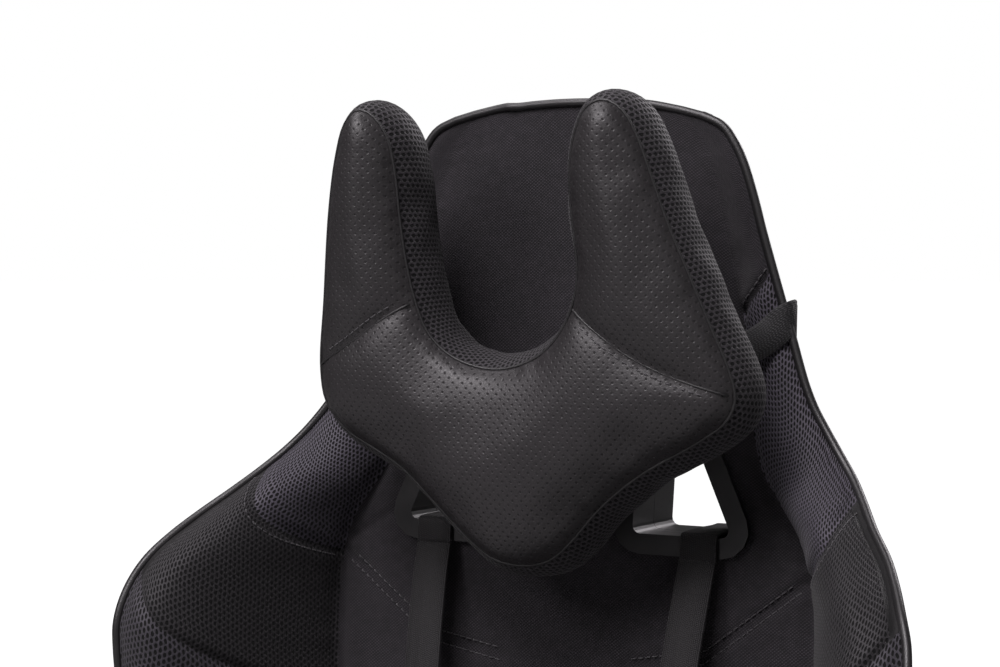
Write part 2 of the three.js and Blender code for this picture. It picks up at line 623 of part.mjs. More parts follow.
function seatFrame() {
  const { radius, z, front, rear, corner } = SEAT_TUBE;
  const sidePath = [
    [RAIL_X, rear - 6, z], [RAIL_X, 60, z], [RAIL_X, front + corner, z], [RAIL_X - 12, front + 12, z],
    [RAIL_X - corner, front, z], [0, front, z],
  ];
  const route = sidePath.concat(sidePath.slice(0, -1).reverse().map(([x, y, h]) => [-x, y, h]));
  let frame = toSolid(bar(route, radius, 26, 8));
  frame = frame.add(toSolid(rod(-RAIL_X, RAIL_X, rear - 18, z, radius - 1, 10)));
  frame = frame.subtract(boreOf(route, 1, radius - TUBE_WALL, 26, 8));
  const bracket = toSolid(box(RAIL_X, PLATE.inner - GAP, 112, 208, z - 9, z + 9));
  const riser = (y) => toSolid(box(RAIL_X - 9, RAIL_X + 9, y - 20, y + 20, SLIDER.top + GAP, z));
  frame = frame.add(onBothSides(bracket)).add(onBothSides(riser(-170))).add(onBothSides(riser(150)));
  for (const y of PLATE_BOLTS_Y) {
    frame = frame.subtract(onBothSides(toSolid(rod(215, 250, y, z, BOLT.radius + GAP, 12))));
  }
  return frame;
}

function seatBand(y) {
  const low = SEAT_TUBE.z + SEAT_TUBE.radius + GAP;
  return box(-196, 196, y - BAND.width / 2, y + BAND.width / 2, low, low + BAND.thick - 0.6);
}

function slideHandle() {
  const { radius, halfWidth: reach, pivotY, pivotZ, frontY, frontZ } = HANDLE;
  const side = [
    [reach + 18, pivotY + 50, pivotZ], [reach + 18, pivotY, pivotZ], [reach + 14, -200, 35],
    [reach - 6, -290, 30], [reach - 30, frontY + 6, frontZ],
    [reach - 60, frontY, frontZ], [0, frontY, frontZ],
  ];
  const route = side.concat(side.slice(0, -1).reverse().map(([x, y, z]) => [-x, y, z]));
  return toSolid(bar(route, radius, 34, 6));
}

// A bracket on the slider carries each end of the handle on a short pin.
function handleBracket() {
  const { pivotY, pivotZ } = HANDLE;
  const inner = HANDLE.halfWidth + 18;
  const block = box(inner - 9, inner + 9, pivotY - 9, pivotY + 9, 25, pivotZ + 9);
  const channel = box(inner - 6, inner + 6, pivotY - 12, pivotY + 12, pivotZ - 8, pivotZ + 12);
  return toSolid(block).subtract(toSolid(channel));
}

// ---------------------------------------------------------------- seat cushion

function seatTopPoint(u, y) {
  const half = profile(SEAT_HALF_WIDTH, y);
  const share = Math.abs(u);
  const bolster = profile(SEAT_BOLSTER, y);
  const t = clamp((share - SEAT_CREASE) / (1 - SEAT_CREASE), 0, 1);
  const dish = -6 * (1 - (share / SEAT_CREASE) ** 2);
  const rise = share < SEAT_CREASE ? dish * 0.4 : bolster * Math.sin(Math.PI * Math.min(t * 0.72, 1));
  return new THREE.Vector3(u * half, y, profile(SEAT_TOP, y) + rise);
}

function seatSidePoint(u, y, share) {
  const top = seatTopPoint(u, y);
  const inward = 8 * share;
  const middle = (SEAT.front + SEAT.rear) / 2;
  const x = top.x * (1 - inward / SEAT_HALF_WIDTH[3][1]);
  const yIn = y + (middle - y) * (inward / 240);
  return new THREE.Vector3(x, yIn, top.z + (SEAT.bottom - top.z) * share);
}

const seatUs = [-1, -0.94, -0.84, -0.74, -0.66, 0, 0.66, 0.74, 0.84, 0.94, 1];
const seatYs = [-300, -280, -240, -160, -80, 0, 80, 130, 166];
const wrappedSeatUs = [-1.14, ...seatUs, 1.14];
const wrappedSeatYs = [-320, ...seatYs, 186];

function wrappedSeatPoint(u, y) {
  const past = Math.max((Math.abs(u) - 1) / 0.14, (SEAT.front - y) / 20, (y - SEAT.rear) / 20, 0);
  return seatSidePoint(clamp(u, -1, 1), clamp(y, SEAT.front, SEAT.rear), past);
}

const seatSheet = makeSheet(wrappedSeatUs, wrappedSeatYs, wrappedSeatPoint);

function seatFoam() {
  const ys = [SEAT.front + 12, ...seatYs.slice(1, -1), SEAT.rear - 12];
  const surface = makeSheet(seatUs, ys, (u, y) => seatTopPoint(clamp(u, -FOAM_REACH, FOAM_REACH), y));
  const low = makeSheet(seatUs, ys, (u, y) => {
    const half = profile(SEAT_HALF_WIDTH, y) - SEAT_FOAM_FOOT_INSET;
    return new THREE.Vector3(u * half, y, SEAT.bottom - 1.4);
  });
  return toSolid(bodyBetween(offsetSheet(surface, -FOAM_INSET), low));
}

const seatCover = () => toSolid(bodyBetween(seatSheet, offsetSheet(seatSheet, -SKIN)));

// ---------------------------------------------------------------- head pillow

// A soft plate from an outline in [x, z]: a middle slab with a smaller puffed face on each side.
function puffedPlate(points, thick, puff) {
  const curve = curveThrough(points.map(([x, z]) => new THREE.Vector3(x, z, 0)), true);
  const outline = curve.getPoints(points.length).slice(0, -1).map((p) => [p.x, p.y]);
  const options = {
    depth: thick, bevelEnabled: true, bevelThickness: puff, bevelSize: puff, bevelOffset: -puff,
    bevelSegments: 2, curveSegments: 1,
  };
  const geometry = new THREE.ExtrudeGeometry(polygon(outline), options);
  const turn = new THREE.Matrix4().makeBasis(AXIS_X, AXIS_Z, AXIS_Y.clone().negate());
  return toSolid(geometry.applyMatrix4(turn));
}

const pillowPose = new THREE.Matrix4().compose(
  new THREE.Vector3(PILLOW.shift, -PILLOW.footForward - PILLOW.puff, PILLOW.foot),
  new THREE.Quaternion().setFromEuler(new THREE.Euler(radians(PILLOW.lean), -radians(PILLOW.roll), 0)),
  new THREE.Vector3(1, 1, 1),
);

function headPillow() {
  const left = PILLOW_OUTLINE.slice(1, -1).reverse().map(([x, z]) => [-x, z]);
  const plate = puffedPlate(PILLOW_OUTLINE.concat(left), PILLOW.thick, PILLOW.puff);
  const posed = toSolid(toGeometry(plate).applyMatrix4(pillowPose));
  const clearOfBack = offsetSheet(frontSheet, 2);
  const behind = wholeRearSheet;
  return posed.subtract(toSolid(bodyBetween(clearOfBack, behind)));
}

// Elastic strap round the head of the backrest, from one side of the pillow to the other.
const strapV = PILLOW_TRAVEL_STRAP.height / BACK_HEIGHT;
const strapHalfWidth = profile(OUTLINE_HALF_WIDTH, PILLOW_TRAVEL_STRAP.height - 12) + 5.5;
const strapRearY = rearPoint(0, strapV).y + SKIN + 2.4;

function headStrap() {
  const half = [
    [130, -27], [148, -14], [strapHalfWidth - 2, -6], [strapHalfWidth, 4], [strapHalfWidth - 6, 34],
    [strapHalfWidth - 20, strapRearY - 5], [strapHalfWidth - 44, strapRearY],
    [60, strapRearY], [0, strapRearY],
  ];
  const route = half.concat(half.slice(0, -1).reverse().map(([x, y]) => [-x, y]));
  const { height, width, thick } = PILLOW_TRAVEL_STRAP;
  const strap = toSolid(prismZ(ribbonOutline(route, thick, 46), height - width / 2, height + width / 2));
  return strap.subtract(headPillowClearance());
}

function headPillowClearance() {
  const left = PILLOW_OUTLINE.slice(1, -1).reverse().map(([x, z]) => [-x, z]);
  const plate = puffedPlate(PILLOW_OUTLINE.concat(left), PILLOW.thick + 2 * GAP, PILLOW.puff);
  const grown = pillowPose.clone().multiply(new THREE.Matrix4().makeTranslation(0, GAP, 0));
  return toSolid(toGeometry(plate).applyMatrix4(grown));
}

// Ladder buckle: a frame with two slots, lying on the strap behind the backrest.
function buckle(x, y, z, wide, high) {
  const frame = toSolid(box(x - wide / 2, x + wide / 2, y, y + 3.4, z - high / 2, z + high / 2));
  const slotHalf = wide / 2 - 4;
  const slot = (low, top) =>
    toSolid(box(x - slotHalf, x + slotHalf, y - 1, y + 5, z + low, z + top));
  return frame.subtract(slot(-high / 2 + 4, -2)).subtract(slot(2, high / 2 - 4));
}

// ---------------------------------------------------------------- lumbar cushion and its straps

function lumbarCushion() {
  const { low, high, halfWidth: half } = LUMBAR;
  const middle = (low + high) / 2;
  const reach = (high - low) / 2;
  const corner = [
    [half * 0.4, -reach + 3], [half * 0.8, -reach + 8], [half - 4, -reach + 34], [half, 0],
    [half - 4, reach - 34], [half * 0.8, reach - 8], [half * 0.4, reach - 3],
  ];
  const outline = corner.concat(corner.slice().reverse().map(([x, z]) => [-x, z]));
  const plate = puffedPlate(outline, LUMBAR.thick, LUMBAR.puff);
  return toSolid(toGeometry(plate).translate(0, -LUMBAR.rear - LUMBAR.puff, middle));
}

const sillTop = HARNESS_OPENING[0][1] + 2 * GAP + WEBBING.thick / 2;
const lipY = -GAP - FLANGE_THICK - 2 * GAP - WEBBING.thick / 2;
const behindY = profile(BACK_DEPTH, 500) + SKIN + 3.4 + 2 * GAP + WEBBING.thick;

const strapPrism = (route, divisions) => prismX(
  ribbonOutline(route, WEBBING.thick, divisions),
  WEBBING.x - WEBBING.width / 2, WEBBING.x + WEBBING.width / 2,
);

// From the top edge of the lumbar cushion up to the lip of the harness opening.
const STRAP_JOIN = { y: lipY - 0.6, z: sillTop - 16 };
function lumbarStrapFront() {
  const start = [-LUMBAR.rear - LUMBAR.puff - 14, LUMBAR.high + 0.8];
  return toSolid(strapPrism([start, [-34, LUMBAR.high + 60], [STRAP_JOIN.y, STRAP_JOIN.z - 0.6]], 8));
}

// Over the sill of the opening, down behind the backrest, under its foot and up behind the cushion.
function lumbarStrapRear() {
  const route = [
    [STRAP_JOIN.y, STRAP_JOIN.z], [lipY - 0.2, sillTop - 3.4],
    [lipY + 0.7, sillTop - 0.3], [lipY + 4, sillTop + 0.3],
    [20, sillTop + 0.6], [50, sillTop + 0.6], [behindY - 3, sillTop + 0.3], [behindY - 0.2, sillTop - 2.6],
    [behindY, sillTop - 10],
    [behindY + 0.6, 420], [behindY + 0.8, 250], [behindY - 0.5, 60], [behindY - 4, 12], [48, -7], [20, -9],
    [-2, -6], [-14, 8], [-20, 50], [-LUMBAR.rear + 1, 100],
  ];
  return toSolid(strapPrism(route, 64));
}

// ---------------------------------------------------------------- assembly

const group = (parent, x, y, z, tilt = 0) => {
  const child = new THREE.Group();
  child.position.set(x, y, z);
  child.rotation.x = tilt;
  parent.add(child);
  return child;
};

function add(parent, name, shape, material) {
  const geometry = shape.isBufferGeometry ? shape : toGeometry(shape);
  const mesh = new THREE.Mesh(geometry, material);
  mesh.name = name;
  parent.add(mesh);
}

// A piece made on the sitter's left (+X), and its twin on the right.
function addPair(parent, name, shape, material) {
  const geometry = shape.isBufferGeometry ? shape : toGeometry(shape);
  add(parent, `${name}_left`, geometry, material);
  add(parent, `${name}_right`, mirrored(geometry), material);
}

const racingSeat = new THREE.Group();
const seat = group(racingSeat, 0, 0, 0);

addPair(seat, "lower_rail", lowerRail(), ZINC);
addPair(seat, "upper_rail", upperRail(), PAINTED);
for (const [i, y] of GLIDE.ends.entries()) {
  addPair(seat, `rail_glide_${i ? "rear" : "front"}`, toSolid(railGlide(y)), ELASTIC);
}
add(seat, "slide_handle", slideHandle(), PAINTED);
addPair(seat, "handle_bracket", handleBracket(), PAINTED);
add(seat, "seat_frame", seatFrame(), PAINTED);
for (const [i, y] of SEAT_BANDS_Y.entries()) {
  add(seat, `seat_band_${i + 1}`, seatBand(y), ELASTIC);
}
add(seat, "seat_foam", seatFoam(), FOAM);
add(seat, "seat_cover", seatCover(), TWILL);

addPair(seat, "recliner_plate", reclinerPlate(), PAINTED);
addPair(seat, "recliner_hub", reclinerHub(), ZINC);
addPair(seat, "recliner_cover", reclinerCover(), PLASTIC);
for (const [i, y] of PLATE_BOLTS_Y.entries()) {
  const shape = bolt(y, SEAT_TUBE.z, 222, PLATE.inner + PLATE.thick + 0.3);
  addPair(seat, `plate_bolt_${i ? "rear" : "front"}`, shape, ZINC);
}
const rodReach = { left: 256, right: -(LEVER.inner + LEVER.thick + 3) };
add(seat, "sync_rod", rod(rodReach.right, rodReach.left, PIVOT.y, PIVOT.z, ROD_RADIUS, 12), ZINC);
add(seat, "recline_lever", mirrored(toGeometry(leverBlade())), PAINTED);
add(seat, "lever_grip", mirrored(toGeometry(leverGrip())), PLASTIC);

const reclining = group(seat, 0, PIVOT.y, PIVOT.z, -radians(RECLINE_AT_REST));
const back = group(reclining, 0, -PANEL_AHEAD_OF_PIVOT, BACK_FOOT_ABOVE_PIVOT);

addPair(back, "recliner_arm", reclinerArm(), PAINTED);
for (const [i, height] of ARM_BOLT_HEIGHTS.entries()) {
  const shape = bolt(ARM_MIDDLE_Y, height, 196, ARM.inner + ARM.thick + 0.3);
  addPair(back, `arm_bolt_${i ? "high" : "low"}`, shape, ZINC);
}
add(back, "back_frame", backFrame(), PAINTED);
for (const [i, height] of BACK_BANDS_H.entries()) {
  add(back, `back_band_${i + 1}`, backBand(height), ELASTIC);
}
add(back, "back_foam", backFoam(), FOAM);
add(back, "front_cover", frontCover(), TWILL);
add(back, "rear_cover", rearCover(), LEATHER);
add(back, "back_piping", backPiping(), LEATHER);
addPair(back, "front_bezel", frontBezel(), PLASTIC);
addPair(back, "rear_bezel", rearBezel(), PLASTIC);

add(back, "head_pillow", headPillow(), LEATHER);
add(back, "head_strap", headStrap(), WEB);
const headBuckleY = strapRearY + PILLOW_TRAVEL_STRAP.thick / 2 + GAP;
add(back, "head_strap_buckle", buckle(58, headBuckleY, PILLOW_TRAVEL_STRAP.height, 36, 32), PLASTIC);

add(back, "lumbar_cushion", lumbarCushion(), LEATHER);
addPair(back, "lumbar_strap_front", lumbarStrapFront(), WEB);
addPair(back, "lumbar_strap_rear", lumbarStrapRear(), WEB);
addPair(back, "strap_buckle", buckle(WEBBING.x, behindY + 3, 330, 34, 34), PLASTIC);

// The seat stands with the middle of its footprint on the origin.
racingSeat.updateMatrixWorld(true);
const extent = new THREE.Box3().setFromObject(racingSeat, true);
seat.position.y = -(extent.min.y + extent.max.y) / 2;

export default racingSeat;
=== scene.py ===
import math

import bmesh
import bpy
import numpy as np
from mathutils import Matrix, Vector, geometry, noise
from mathutils.bvhtree import BVHTree


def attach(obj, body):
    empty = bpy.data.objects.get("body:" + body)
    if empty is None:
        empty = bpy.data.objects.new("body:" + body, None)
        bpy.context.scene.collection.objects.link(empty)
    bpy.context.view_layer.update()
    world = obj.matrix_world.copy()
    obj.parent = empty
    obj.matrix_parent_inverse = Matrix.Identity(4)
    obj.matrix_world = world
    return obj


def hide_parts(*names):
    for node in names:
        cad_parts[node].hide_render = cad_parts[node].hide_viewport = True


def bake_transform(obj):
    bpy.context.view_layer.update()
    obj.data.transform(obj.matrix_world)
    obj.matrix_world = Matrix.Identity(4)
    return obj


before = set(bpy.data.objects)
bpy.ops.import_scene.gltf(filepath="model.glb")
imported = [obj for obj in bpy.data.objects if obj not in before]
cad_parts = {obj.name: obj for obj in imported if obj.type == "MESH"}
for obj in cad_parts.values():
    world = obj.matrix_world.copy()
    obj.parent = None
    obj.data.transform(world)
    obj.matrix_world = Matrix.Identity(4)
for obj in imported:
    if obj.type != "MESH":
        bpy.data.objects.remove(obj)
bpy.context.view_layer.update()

MM = 0.001

# ------------------------------------------------------------------ driving dimensions (mm)

RECLINE_AT_REST = 3  # degrees
BACK_ORIGIN = (0.0, 229.30, 165.38)  # foot of the backrest's front plane
BACK_HEIGHT = 840
OUTLINE_HALF_WIDTH = [
    (0, 205), (100, 221), (250, 234), (350, 246), (430, 256), (490, 261), (520, 258), (540, 250),
    (560, 237), (580, 219), (600, 203), (620, 187), (650, 167), (690, 152), (750, 132), (784, 122),
    (812, 112), (828, 100), (836, 86), (840, 55),
]
WING_FORWARD = [
    (0, 48), (100, 60), (250, 92), (350, 112), (440, 126), (490, 130), (505, 127), (520, 120),
    (540, 106), (560, 80), (580, 55), (600, 30), (620, 17), (650, 9), (720, 2), (840, 0),
]
CREASE_HALF_WIDTH = [(0, 150), (300, 160), (500, 166), (553, 159), (608, 128), (703, 115), (840, 84)]
LUMBAR_SWELL = [(0, 6), (60, 14), (160, 26), (300, 16), (450, 3), (520, 0), (840, 0)]
SIDE_BAND_DEPTH = [(0, 102), (150, 110), (300, 104), (420, 70), (500, 60), (840, 50)]
BACK_DEPTH = [(0, 58), (100, 64), (400, 64), (700, 60), (840, 50)]
SIDE_TAPER = [(0, 3), (170, 4), (400, 15), (840, 15)]
CREST_RISE = 8
CREST_AT = 0.76
TOP_CROWN = 2
TOP_SINK = 4.5  # the padding is drawn down along the top
REAR_FLAT = 0.62
PIPING_RADIUS = 2.8
PIPING_OUT = 2.2  # piping axis, outside the cover's edge
PIPING_ABOVE = 1.8  # and above it, along the top
REAR_SEAM = 0.56  # share of the width
REAR_CROSS_SEAMS = (170, 480)
REAR_BOW = 14

HARNESS_OPENING = [(47, 562), (114, 562), (80, 640), (50, 640)]
OPENING_CORNER = 5
FRONT_CUT, REAR_CUT = 4.5, 3.5  # the covers stop this far outside an opening

# Seams of the backrest's front, as height at the crease and at the outer edge.
SEAM_TOP = (703, 729)
SEAM_MIDDLE = (537, 594)
SEAM_LOW = (435, 530)
WING_SEAMS = (SEAM_LOW, SEAM_MIDDLE, SEAM_TOP)

# Head pillow outline in its own plane: across, and up from its lowest tip.
PILLOW_OUTLINE = [
    (0, 1), (20, 5), (36, 18), (56, 40), (82, 61), (120, 83), (139, 97), (145, 112), (141, 130),
    (131, 154), (119, 183), (107, 212), (97, 241), (89, 264), (80, 280), (67, 288), (54, 284),
    (46, 271), (41, 252), (40, 230), (42, 203), (43, 182), (39, 165), (32, 151), (19, 137),
    (5, 130), (-8, 127), (-24, 128), (-42, 135), (-55, 148), (-62, 166), (-67, 190), (-70, 217),
    (-72, 246), (-77, 268), (-88, 282), (-100, 285), (-110, 275), (-117, 256), (-124, 222),
    (-131, 165), (-136, 122), (-133, 99), (-119, 81), (-98, 69), (-80, 58), (-54, 33), (-34, 14),
    (-19, 4),
]
PILLOW_WELTS = [
    [(-62, 166), (-82, 154), (-106, 138), (-136, 122)],
    [(39, 165), (58, 150), (84, 133), (114, 121), (145, 112)],
]
PILLOW_FOOT = 541
PILLOW_FRONT = 72
PILLOW_LEAN = 0.15
PILLOW_SIZE = {"spacing": 5.2, "thick": 50, "puff": 17, "rear_puff": 6, "bulge": 9, "inset": 2.5}

LUMBAR = {"low": 112, "high": 384, "half": 142, "front": 96}
LUMBAR_SIZE = {"spacing": 6, "thick": 60, "puff": 12, "rear_puff": 5, "bulge": 4, "inset": 0}
WEBBING = {"width": 25, "thick": 1.8, "x": 92.5}

SEAT = {"front": -300, "rear": 166, "bottom": 81}
SEAT_SHIFT = -12.0218  # the seat's footprint is centred on the origin
SEAT_HALF_WIDTH = [(-300, 206), (-270, 232), (-200, 252), (-60, 258), (40, 238), (166, 232)]
SEAT_TOP = [(-300, 150), (-270, 164), (-200, 172), (-60, 168), (60, 166), (166, 172)]
SEAT_BOLSTER = [(-300, 6), (-240, 22), (-120, 38), (40, 34), (120, 22), (166, 10)]
SEAT_CREASE = 0.66
SEAT_BOW = 10
SKIRT_STEPS = 12

# ------------------------------------------------------------------ shape tools


def clamp(value, low, high):
    return max(low, min(high, value))


def smooth(t):
    t = clamp(t, 0, 1)
    return t * t * (3 - 2 * t)


def profile(knots, at):
    """Smooth curve through (position, value) knots."""
    last = len(knots) - 1
    if at <= knots[0][0]:
        return knots[0][1]
    if at >= knots[last][0]:
        return knots[last][1]
    i = 0
    while knots[i + 1][0] < at:
        i += 1

    def slope(k):
        before, after = knots[max(k - 1, 0)], knots[min(k + 1, last)]
        return (after[1] - before[1]) / (after[0] - before[0])

    span = knots[i + 1][0] - knots[i][0]
    t = (at - knots[i][0]) / span
    rise = t * t * (3 - 2 * t)
    leave = t * (1 - t) ** 2 * span * slope(i)
    arrive = t * t * (t - 1) * span * slope(i + 1)
    return knots[i][1] + (knots[i + 1][1] - knots[i][1]) * rise + leave + arrive


def catmull(points, steps, closed=False):
    """Points on a centripetal Catmull-Rom curve, steps to each stretch."""
    pts = [Vector(p) for p in points]
    count = len(pts)
    if closed:
        pts = [pts[-1]] + pts + pts[:2]
    else:
        pts = [2 * pts[0] - pts[1]] + pts + [2 * pts[-1] - pts[-2]]

    def between(a, b, low, high, t):
        return a * ((high - t) / (high - low)) + b * ((t - low) / (high - low))

    out = []
    for i in range(count if closed else count - 1):
        near = pts[i : i + 4]
        knots = [0.0]
        for a, b in zip(near, near[1:]):
            knots.append(knots[-1] + max((b - a).length, 1e-9) ** 0.5)
        for k in range(steps):
            t = knots[1] + (knots[2] - knots[1]) * k / steps
            first = [between(*near[j : j + 2], *knots[j : j + 2], t) for j in range(3)]
            second = [between(*first[j : j + 2], knots[j], knots[j + 2], t) for j in range(2)]
            out.append(between(*second, knots[1], knots[2], t))
    if not closed:
        out.append(pts[-2].copy())
    return out


def distances(points):
    """Distance run at each point of a polyline."""
    run = [0.0]
    for a, b in zip(points, points[1:]):
        run.append(run[-1] + (b - a).length)
    return run


def resample(points, spacing, closed=False):
    """The same polyline with points at an even spacing."""
    pts = [Vector(p) for p in points]
    if closed:
        pts = pts + [pts[0]]
    run = distances(pts)
    count = max(2, round(run[-1] / spacing))
    out, k = [], 0
    for i in range(count if closed else count + 1):
        at = run[-1] * i / count
        while k < len(pts) - 2 and run[k + 1] < at:
            k += 1
        share = (at - run[k]) / max(run[k + 1] - run[k], 1e-12)
        out.append(pts[k].lerp(pts[k + 1], clamp(share, 0, 1)))
    return out


def mirrored(half):
    """A route from one side to the centre plane, carried on to the other side."""
    return [*half, *((-x, y, z) for x, y, z in reversed(half[:-1]))]


def normal_of(point_at, u, v, du, dv, low, high):
    """Normal of the surface point_at(u, v), from small steps along it; v stays between low and high."""
    (ax, ay, az), (bx, by, bz) = (point_at(clamp(u + step, -1, 1), v) for step in (-du, du))
    (cx, cy, cz), (dx, dy, dz) = (point_at(u, clamp(v + step, low, high)) for step in (-dv, dv))
    return Vector((bx - ax, by - ay, bz - az)).cross(Vector((dx - cx, dy - cy, dz - cz))).normalized()


TILT = math.radians(RECLINE_AT_REST)


def from_back(x, y, h):
    """Backrest coordinates in mm to the shared frame in metres."""
    c, s = math.cos(TILT), math.sin(TILT)
    ox, oy, oz = BACK_ORIGIN
    return Vector((ox + x, oy + y * c + h * s, oz - y * s + h * c)) * MM


def back_point(p):
    return from_back(*p)


def from_seat(p):
    """Seat coordinates in mm to the shared frame in metres."""
    return Vector((p.x, p.y + SEAT_SHIFT, p.z)) * MM


def in_metres(p):
    return p * MM


def make_object(name, mesh):
    obj = bpy.data.objects.new(name, mesh)
    bpy.context.scene.collection.objects.link(obj)
    return obj


def mesh_object(name, verts, faces, materials, face_materials=None, uvs=None, flat=False):
    """One mesh piece; uvs holds one pair for each face corner, in metres."""
    mesh = bpy.data.meshes.new(name)
    mesh.from_pydata([tuple(v) for v in verts], [], faces)
    for material in materials:
        mesh.materials.append(material)
    if face_materials is not None:
        mesh.polygons.foreach_set("material_index", face_materials)
    if uvs is not None:
        layer = mesh.uv_layers.new(name="cloth")
        layer.data.foreach_set("uv", [c for uv in uvs for c in uv])
    if not flat:
        mesh.polygons.foreach_set("use_smooth", [True] * len(mesh.polygons))
    mesh.update()
    return make_object(name, mesh)


def finish_piece(obj, body, slot, *replaced):
    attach(obj, body)
    if replaced:
        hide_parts(*replaced)


def joined_piece(name, parts, place, material, body, slot, *replaced):
    """One piece from several (vertices, faces, uvs); place puts a point in the shared frame."""
    verts, faces, uvs = [], [], []
    for part_verts, part_faces, part_uvs in parts:
        shift = len(verts)
        verts += part_verts
        faces += [tuple(k + shift for k in face) for face in part_faces]
        uvs += part_uvs
    obj = mesh_object(name, [place(v) for v in verts], faces, [material], None, uvs)
    finish_piece(obj, body, slot, *replaced)


def add_modifier(obj, kind, **settings):
    modifier = obj.modifiers.new(kind.lower(), kind)
    for key, value in settings.items():
        setattr(modifier, key, value)
    return modifier


def weld(obj):
    """Joins points that meet and drops those that no face uses."""
    mesh = bmesh.new()
    mesh.from_mesh(obj.data)
    bmesh.ops.remove_doubles(mesh, verts=mesh.verts, dist=0.02 * MM)
    bmesh.ops.delete(mesh, geom=[v for v in mesh.verts if not v.link_faces], context="VERTS")
    mesh.to_mesh(obj.data)
    mesh.free()


def apply_modifiers(obj):
    """Bakes the object's modifiers into its mesh."""
    bpy.context.view_layer.update()
    graph = bpy.context.evaluated_depsgraph_get()
    mesh = bpy.data.meshes.new_from_object(obj.evaluated_get(graph))
    obj.modifiers.clear()
    obj.data = mesh


# ------------------------------------------------------------------ materials


class Surface:
    """A Principled material, with short calls for the nodes that drive it."""

    def __init__(self, name, roughness, color=(0.02, 0.02, 0.02), **sockets):
        self.material = bpy.data.materials.new(name)
        self.material.use_nodes = True
        self.material.diffuse_color = (*color, 1)
        self.tree = self.material.node_tree
        self.shader = self.tree.nodes["Principled BSDF"]
        self.set(Base_Color=(*color, 1), Roughness=roughness, **sockets)

    def set(self, **sockets):
        for socket, value in sockets.items():
            self.plug(value, self.shader.inputs[socket.replace("_", " ")])
        return self.material

    def plug(self, value, socket):
        if isinstance(value, bpy.types.NodeSocket):
            self.tree.links.new(value, socket)
        else:
            socket.default_value = value

    def node(self, kind, output=0, settings=(), **inputs):
        """One output of a new node; an input is given by its name, or by its number as i0, i1."""
        made = self.tree.nodes.new(kind)
        for key, value in dict(settings).items():
            setattr(made, key, value)
        for key, value in inputs.items():
            numbered = key[0] == "i" and key[1:].isdigit()
            self.plug(value, made.inputs[int(key[1:]) if numbered else key])
        return made.outputs[output]

    def math(self, operation, a, b=0.0, limit=False):
        return self.node("ShaderNodeMath", 0, {"operation": operation, "use_clamp": limit}, i0=a, i1=b)

    def plus(self, a, b, limit=False):
        return self.math("ADD", a, b, limit)

    def times(self, a, b):
        return self.math("MULTIPLY", a, b)

    def coordinates(self, kind="Object"):
        return self.node("ShaderNodeTexCoord", kind)

    def split(self, vector):
        outputs = self.node("ShaderNodeSeparateXYZ", Vector=vector).node.outputs
        return outputs[0], outputs[1]

    def stretched(self, vector, scale):
        return self.node("ShaderNodeMapping", Vector=vector, Scale=scale)

    def noise(self, vector, scale, detail=3.0, roughness=0.5, output=0):
        inputs = {"Vector": vector, "Scale": scale, "Detail": detail, "Roughness": roughness}
        return self.node("ShaderNodeTexNoise", output, **inputs)

    def voronoi(self, vector, scale, feature="F1", randomness=1.0, output="Distance"):
        inputs = {"Vector": vector, "Scale": scale, "Randomness": randomness}
        return self.node("ShaderNodeTexVoronoi", output, {"feature": feature}, **inputs)

    def spread(self, value, low, high, to_low=0.0, to_high=1.0):
        return self.node("ShaderNodeMapRange", i0=value, i1=low, i2=high, i3=to_low, i4=to_high)

    def blend(self, share, first, second):
        return self.node("ShaderNodeMix", 2, {"data_type": "RGBA"}, i0=share, i6=first, i7=second)

    def mottle(self, pattern, dark, light):
        return self.blend(self.spread(pattern, 0.3, 0.7), dark, light)

    def bump(self, height, distance, strength, **normal):
        inputs = {"Height": height, "Distance": distance, "Strength": strength}
        return self.node("ShaderNodeBump", 0, **inputs, **normal)


def rgb(r, g, b):
    """A colour from its values on a screen, 0 to 255."""

    def linear(c):
        c /= 255
        return c / 12.92 if c <= 0.04045 else ((c + 0.055) / 1.055) ** 2.4

    return (linear(r), linear(g), linear(b), 1.0)


def lattice(s, uv, pitch_u, pitch_v, sharp_u=1.0):
    """Distance from the nearest point of a staggered lattice: 0 at a point, about 1 between points."""
    u, v = s.split(uv)

    def squared(value, pitch, shift, sharp):
        cell = s.plus(s.math("DIVIDE", value, pitch), shift)
        off = s.times(s.math("SUBTRACT", s.math("FRACT", cell), 0.5), 2.0 * sharp)
        return s.math("POWER", off, 2.0)

    def one(shift):
        return s.math("SQRT", s.plus(squared(u, pitch_u, shift, sharp_u), squared(v, pitch_v, shift, 1.0)))

    return s.math("MINIMUM", one(0.0), one(0.5))


def twill_material():
    """Dark woven cloth with fine staggered dots."""
    s = Surface("twill", roughness=0.9, Sheen_Weight=0.08, Sheen_Roughness=0.4, Specular_IOR_Level=0.25)
    uv = s.coordinates("UV")
    wobble = s.noise(uv, 180.0, 2.0)
    dots = lattice(s, uv, 2.5 * MM, 2.1 * MM)
    dot = s.spread(dots, 0.62, 0.28)
    diagonal = s.plus(*s.split(uv))
    thread = s.math("SINE", s.times(diagonal, 2 * math.pi / (0.62 * MM)))
    cloud = s.noise(uv, 11.0, 4.0, 0.6)
    ground = s.mottle(cloud, rgb(26, 25, 27), rgb(35, 33, 36))
    raised = s.mottle(wobble, rgb(47, 45, 48), rgb(66, 62, 67))
    color = s.blend(s.times(dot, 0.72), ground, raised)
    height = s.plus(s.times(dot, 0.7), s.times(thread, 0.14))
    height = s.plus(height, s.times(wobble, 0.35))
    return s.set(Base_Color=color, Normal=s.bump(height, 0.5 * MM, 0.75))


